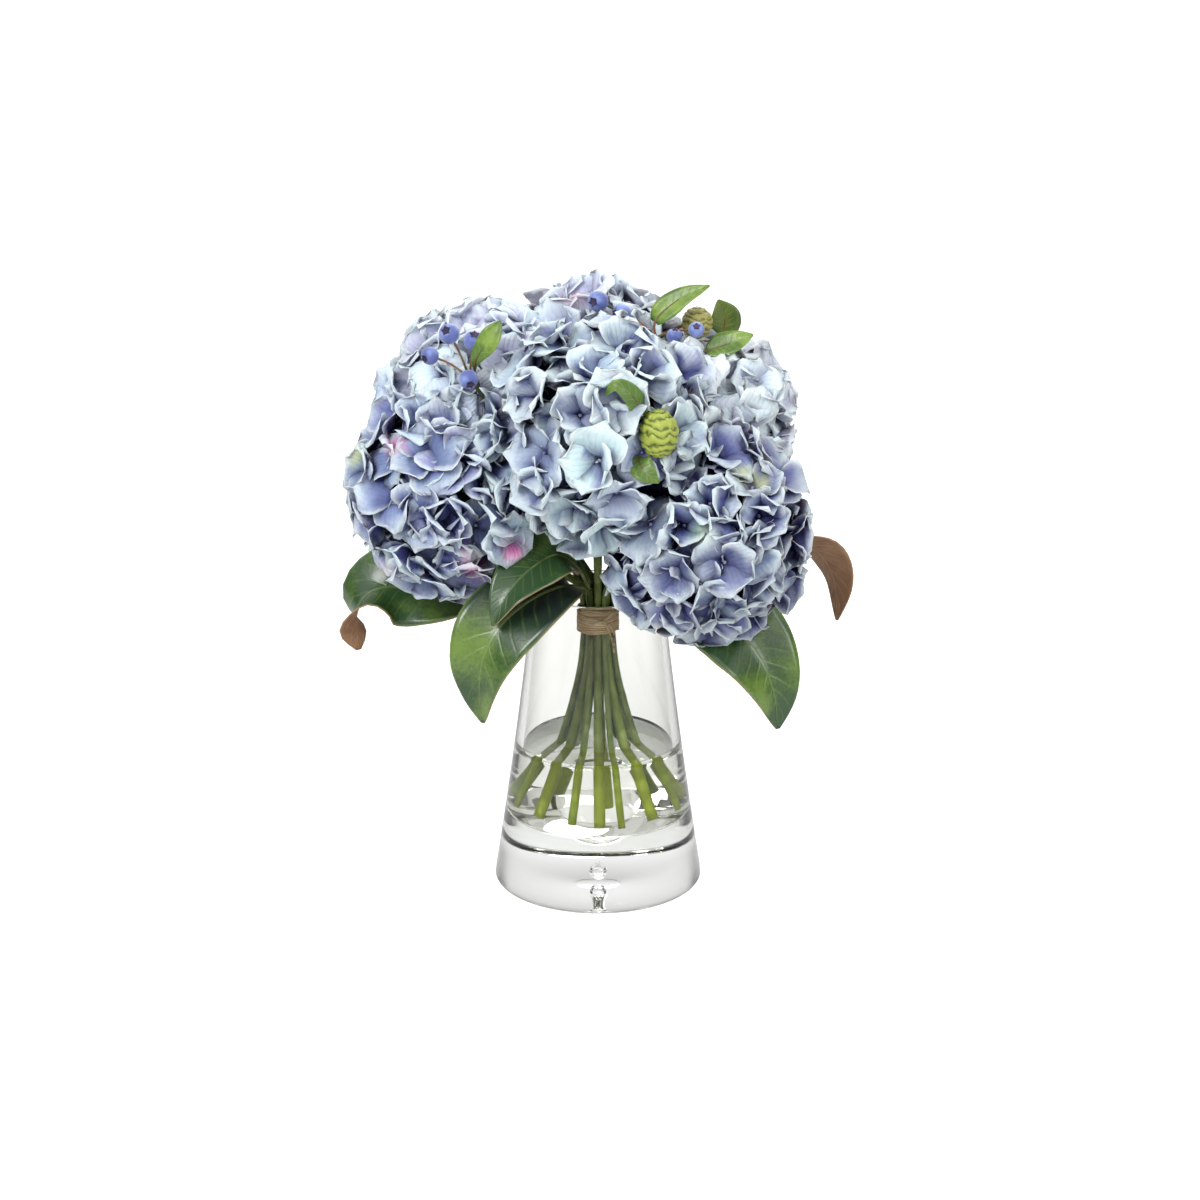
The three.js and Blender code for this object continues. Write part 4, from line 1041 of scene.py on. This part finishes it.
def makeFloretKinds():
    # sepals, an eye and a stalk, in a few kinds
    kinds = []
    draw = random.Random(11)
    for kind in range(sepalForm["kinds"]):
        bm = bmesh.new()
        bm.loops.layers.uv.new("sepal")
        openness = draw.uniform(*sepalForm["open"])
        for k in range(sepalForm["sepals"]):
            append(bm, makeSepal(draw, openness, k), 0)
        eye = bmesh.new()
        bmesh.ops.create_icosphere(eye, subdivisions=1, radius=1.5)
        bmesh.ops.translate(eye, vec=(0, 0, 0.9), verts=eye.verts)
        append(bm, eye, 2)
        appendBar(bm, 3, [(0, 0, -14), (0, 0, -5), (0, 0, 0.6)], [0.7, 0.7, 1.3], 5)
        bmesh.ops.recalc_face_normals(bm, faces=bm.faces)
        mesh = bpy.data.meshes.new("floretKind")
        bm.to_mesh(mesh)
        bm.free()
        kinds.append(mesh)
    return kinds


def headWalls(name):
    # the flat walls that part a head from its neighbours: which way each is, and how far
    centre = Vector(blooms[name]["centre"])
    radius = blooms[name]["radius"]
    walls = []
    for other, bloom in blooms.items():
        away = Vector(bloom["centre"]) - centre
        apart = away.length
        if other == name or apart > radius + bloom["radius"]:
            continue
        walls.append((away.normalized(), (apart ** 2 + radius ** 2 - bloom["radius"] ** 2) / (2 * apart)))
    return walls


def wallRoom(place, walls):
    return min(share - place.dot(normal) for normal, share in walls)


def swellAt(place, walls):
    # how far a head stands out beside its walls, so that no groove is left between heads
    return head["swell"] * math.exp(-max(0.0, wallRoom(place, walls)) / head["swellWidth"])


def evenDirections(count, draw):
    golden = math.pi * (3 - math.sqrt(5))
    turn = Quaternion([draw.uniform(-1, 1) for part in range(4)])
    turn.normalize()
    for i in range(count):
        z = 1 - (2 * i + 1) / count
        r = math.sqrt(1 - z * z)
        way = turn @ Vector((r * math.cos(golden * i), r * math.sin(golden * i), z))
        yield (way + randomVector(draw, head["uneven"])).normalized()


def placeFlorets(name, draw, radius, walls):
    # hub, facing and size of each floret, counted from the head's centre: two layers, then the extra ones
    centre = Vector(blooms[name]["centre"])
    towardsStem = (Vector((0, 0, fan["tieTop"])) - centre).normalized()
    layers = [(head["outer"], head["hubDepth"], 1.0), (head["inner"], head["innerDepth"], head["innerSize"])]
    placed = []
    for count, depth, size in layers:
        for way in evenDirections(count, draw):
            hub = way * (radius - depth + draw.uniform(*head["hubShift"]))
            hub += way * swellAt(hub, walls)
            if wallRoom(hub, walls) < head["wallRoom"]:
                continue
            if way.angle(towardsStem) < math.radians(head["stemAngle"]):
                continue
            tilt = (way + randomVector(draw, head["tilt"])).normalized()
            placed.append((hub, tilt, size * draw.uniform(*head["sizes"])))
    for hub, tilt, size in fillers.get(name, []):
        placed.append((Vector(hub) - centre, Vector(tilt).normalized(), size))
    return placed


def floretColour(name, draw):
    own, pale, often, sooner, soft = headTintsAndShades.get(name, backTintAndShade)
    share = 1.0 if draw.random() < often else 0.0
    share = mix(share, 0.5, tintDraws["mixed"]) + draw.uniform(*tintDraws["share"])
    colour = Vector(own).lerp(Vector(pale), min(1.0, max(0.0, share)))
    colour *= draw.uniform(*tintDraws["bright"])
    colour.x *= draw.uniform(*tintDraws["red"])
    return colour


def keepInside(bm, radius, walls):
    # folds back what stands past the walls and past the head's round outline
    for v in bm.verts:
        raised = swellAt(v.co, walls)
        for normal, share in walls:
            over = v.co.dot(normal) - (share + head["cross"])
            if over > 0:
                v.co -= normal * over * head["crossFold"]
        over = v.co.length - (radius + head["reach"]) - raised * head["swellShare"]
        if over > 0:
            v.co -= v.co.normalized() * over * head["reachFold"]


def pressingThings():
    # round shapes that stand for the berries, pods and small leaves, which the sepals make way for
    things = []
    for twig in twigs.values():
        things += [(Vector(place), radius + press["berryRoom"]) for place, radius, way in twig["berries"]]
        for place, radius, height in twig["pods"]:
            end = Vector((0, 0, height / 2 - radius))
            things += [(Vector(place) + end * k, radius + press["podRoom"]) for k in (-1, 0, 1)]
        for form in twig["leaves"]:
            path = Path(form["midrib"])
            reach = form["half"] * press["leafShare"]
            things += [(path.atLength(t), reach) for t in press["leafPlaces"]]
    return things


def makeWay(bm, centre, radius, things):
    # presses the sepals back into a cup round each thing that lies on the head
    for place, size in things:
        away = place - centre
        if not radius - press["near"] < away.length < radius + press["near"] + size:
            continue
        axis = away.normalized().lerp(Vector(press["towardsViewer"]), press["share"]).normalized()
        for v in bm.verts:
            gap = v.co - away
            along = gap.dot(axis)
            wide = (gap - axis * along).length
            if wide > size * press["wide"] or along < -size:
                continue
            limit = -press["dome"] * math.sqrt(max(0.0, size * size - wide * wide))
            if wide > size:
                limit = (wide - size) * press["flank"]
            if along > limit:
                past = press["past"] * (1 - math.exp((limit - along) / press["pastReach"]))
                v.co += axis * (limit - along - past)


def shadeInside(bm, tintShadeLayer, name):
    # painted shade: darkens the blue towards navy where a point sees little of the outside, and keeps that
    # share in the tint's alpha
    own, pale, often, sooner, soft = headTintsAndShades.get(name, backTintAndShade)
    deep = Vector(shade["deep"]).lerp(Vector(own), soft * 0.4)
    dusk = Vector(shade["dusk"]).lerp(Vector(own), soft)
    low, high = [end + sooner for end in shade["clear"]]
    centre = Vector(blooms[name]["centre"])
    others = [(Vector(bloom["centre"]) - centre, bloom["radius"] - shade["headRoom"])
              for other, bloom in blooms.items() if other != name]
    sight = shade["sight"]
    tree = BVHTree.FromBMesh(bm)
    for v in bm.verts:
        out = v.co.normalized()
        side = out.orthogonal().normalized()
        seen = 0.0
        for k in range(shade["looks"]):
            way = out
            if k:
                around = Quaternion(out, math.tau * k / (shade["looks"] - 1))
                way = (out + around @ side * 1.1).normalized()
            far = tree.ray_cast(v.co + way * shade["start"], way, sight)[3]
            look = 1.0 if far is None else far / sight
            ahead = v.co + way * shade["ahead"]
            if any((ahead - away).length < radius for away, radius in others):
                look *= shade["behindHead"]
            seen += look / shade["looks"]
        # painted shade: deep navy, then dusk, then the floret's own colour as the point sees more of the
        # outside
        clear = ease(low, high, seen)
        if clear < 0.5:
            tint = deep.lerp(dusk, clear * 2)
        else:
            tint = dusk.lerp(Vector(v[tintShadeLayer][:3]), clear * 2 - 1)
        v[tintShadeLayer] = (*tint, clear)


def touchColours(bm, tintShadeLayer):
    # a touched sepal counts as open, so that it keeps its pale rim
    for v in bm.verts:
        for place, reach, colour in touches:
            gap = v.co - Vector(place)
            near = 1 - ease(0.3, 1.0, Vector((gap.x, gap.y * 0.3 + gap.z * 0.954)).length / reach)
            if near > 0 and abs(gap.y) < touchDepth:
                old = v[tintShadeLayer]
                tint = Vector(old[:3]).lerp(Vector(colour), near * mix(0.4, 1, old[3]))
                v[tintShadeLayer] = (*tint, 1.0)


def makeHead(name, kinds, things, seed):
    bloom = blooms[name]
    draw = random.Random(seed)
    centre = Vector(bloom["centre"])
    radius = bloom["radius"] + bloom.get("trim", 0)
    walls = headWalls(name)
    bm = bmesh.new()
    bm.loops.layers.uv.new("sepal")
    tintShadeLayer = bm.verts.layers.float_color.new("tint")
    # the head's core, painted dark as the shade between the florets
    core = bmesh.new()
    bmesh.ops.create_icosphere(core, subdivisions=4, radius=radius - head["coreDepth"])
    for v in core.verts:
        v.co *= 1 + 0.06 * noise.noise(v.co * 0.09)
    append(bm, core, 1)
    for hub, tilt, size in placeFlorets(name, draw, radius, walls):
        place = ringMatrix(hub, tilt, size) @ Matrix.Rotation(draw.uniform(0, math.tau), 4, "Z")
        colour = floretColour(name, draw)
        first = len(bm.verts)
        bm.from_mesh(kinds[draw.randrange(len(kinds))])
        for v in bm.verts[first:]:
            v.co = place @ v.co
            v[tintShadeLayer] = (*colour, 1.0)
    keepInside(bm, radius, walls)
    makeWay(bm, centre, radius, things)
    # paints shade into the floret colours where they lie in hollows
    shadeInside(bm, tintShadeLayer, name)
    bmesh.ops.translate(bm, vec=centre, verts=bm.verts)
    touchColours(bm, tintShadeLayer)
    node = nodeOf("hydrangea_", name)
    finishPiece(name + "Hydrangea", bm, headMaterials, [node], recalc=False)


# Building it all

makeVase()
makeBubble()
makeWater()
print("vase, bubble and water made")

for name, bloom in blooms.items():
    makeBloomStem(name, bloom)
for name, stem in magnoliaStems.items():
    makeLeafyStem(name, stem)
for name, twig in twigs.items():
    makeTwig(name, twig)
makeTie()
print("stems, leaves, twigs and tie made")

floretKinds = makeFloretKinds()
pressing = pressingThings()
for seed, name in enumerate(blooms, 100):
    makeHead(name, floretKinds, pressing, seed)
for mesh in floretKinds:
    bpy.data.meshes.remove(mesh)
print("hydrangea heads made")


# The floor, the light and the camera

studio = {
    "floor": (0.66, 0.66, 0.655), "floorSize": 30.0, "glow": 0.6, "glowThroughGlass": 0.15,
    "high": (0.94, 0.94, 0.95), "low": (0.54, 0.54, 0.53), "flag": (0.04, 0.04, 0.042),
    "target": (1.3, 0, 193), "distance": 2000.0, "pitch": 17.5, "lens": 92.3,
    "lights": [
        {"name": "keyLight", "place": (-900, -1300, 1500), "size": 900, "power": 26},
        {"name": "fillLight", "place": (1300, -1000, 900), "size": 900, "power": 9},
        {"name": "backLight", "place": (300, 1300, 1400), "size": 800, "power": 12},
    ],
}


def makeFloor():
    # glows a little to the camera, so that it stays as white as the photograph's
    bm = bmesh.new()
    bmesh.ops.create_grid(bm, x_segments=4, y_segments=4, size=studio["floorSize"])
    mesh = bpy.data.meshes.new("studioFloor")
    bm.to_mesh(mesh)
    bm.free()
    material, w, shader = newMaterial("paleFloor", Base_Color=studio["floor"], Roughness=0.55,
                                      Emission_Color=(1, 1, 1))
    rays = w.add("LightPath").outputs
    through = w.times(rays["Is Transmission Ray"], studio["glowThroughGlass"])
    seen = w.math("MAXIMUM", rays["Is Camera Ray"], through)
    w.link(w.times(seen, studio["glow"]), shader.inputs["Emission Strength"])
    mesh.materials.append(material)
    floor = bpy.data.objects.new("studioFloor", mesh)
    bpy.context.scene.collection.objects.link(floor)
    floor.location = (0, 0, -0.0002)


def makeWorld():
    # brighter above, and dark flags low at both sides that draw the glass's edges
    world = bpy.data.worlds.new("studioWorld")
    world.use_nodes = True
    w = Wiring(world.node_tree)
    x, y, z = w.split(w.add("TexCoord").outputs["Generated"])
    level = w.blend(w.step(z, 0.0, 0.6), studio["low"], studio["high"])
    flags = w.times(w.step(w.math("ABSOLUTE", x), 0.72, 0.9), w.fall(z, 0.25, 0.5))
    w.link(w.blend(flags, level, studio["flag"]), world.node_tree.nodes["Background"].inputs["Color"])
    bpy.context.scene.world = world


def makeLights():
    for settings in studio["lights"]:
        place = Vector(settings["place"])
        lamp = bpy.data.lights.new(settings["name"], "AREA")
        lamp.shape = "DISK"
        lamp.size = settings["size"] * mm
        lamp.energy = settings["power"]
        light = bpy.data.objects.new(settings["name"], lamp)
        light.location = place * mm
        light.rotation_euler = (Vector(studio["target"]) - place).to_track_quat("-Z", "Y").to_euler()
        bpy.context.scene.collection.objects.link(light)


def makeCamera():
    pitch = math.radians(studio["pitch"])
    away = Vector((0, -math.cos(pitch), math.sin(pitch)))
    camera = bpy.data.objects.new("photoCamera", bpy.data.cameras.new("photoCamera"))
    camera.data.lens = studio["lens"]
    camera.data.sensor_width = 36.0
    camera.data.clip_end = 50.0
    camera.location = (Vector(studio["target"]) + away * studio["distance"]) * mm
    camera.rotation_euler = (-away).to_track_quat("-Z", "Y").to_euler()
    bpy.context.scene.collection.objects.link(camera)
    bpy.context.scene.camera = camera


makeFloor()
makeWorld()
makeLights()
makeCamera()
bpy.context.scene.view_settings.view_transform = "Standard"    # keeps the white of the studio white
print("floor, lights and camera made")
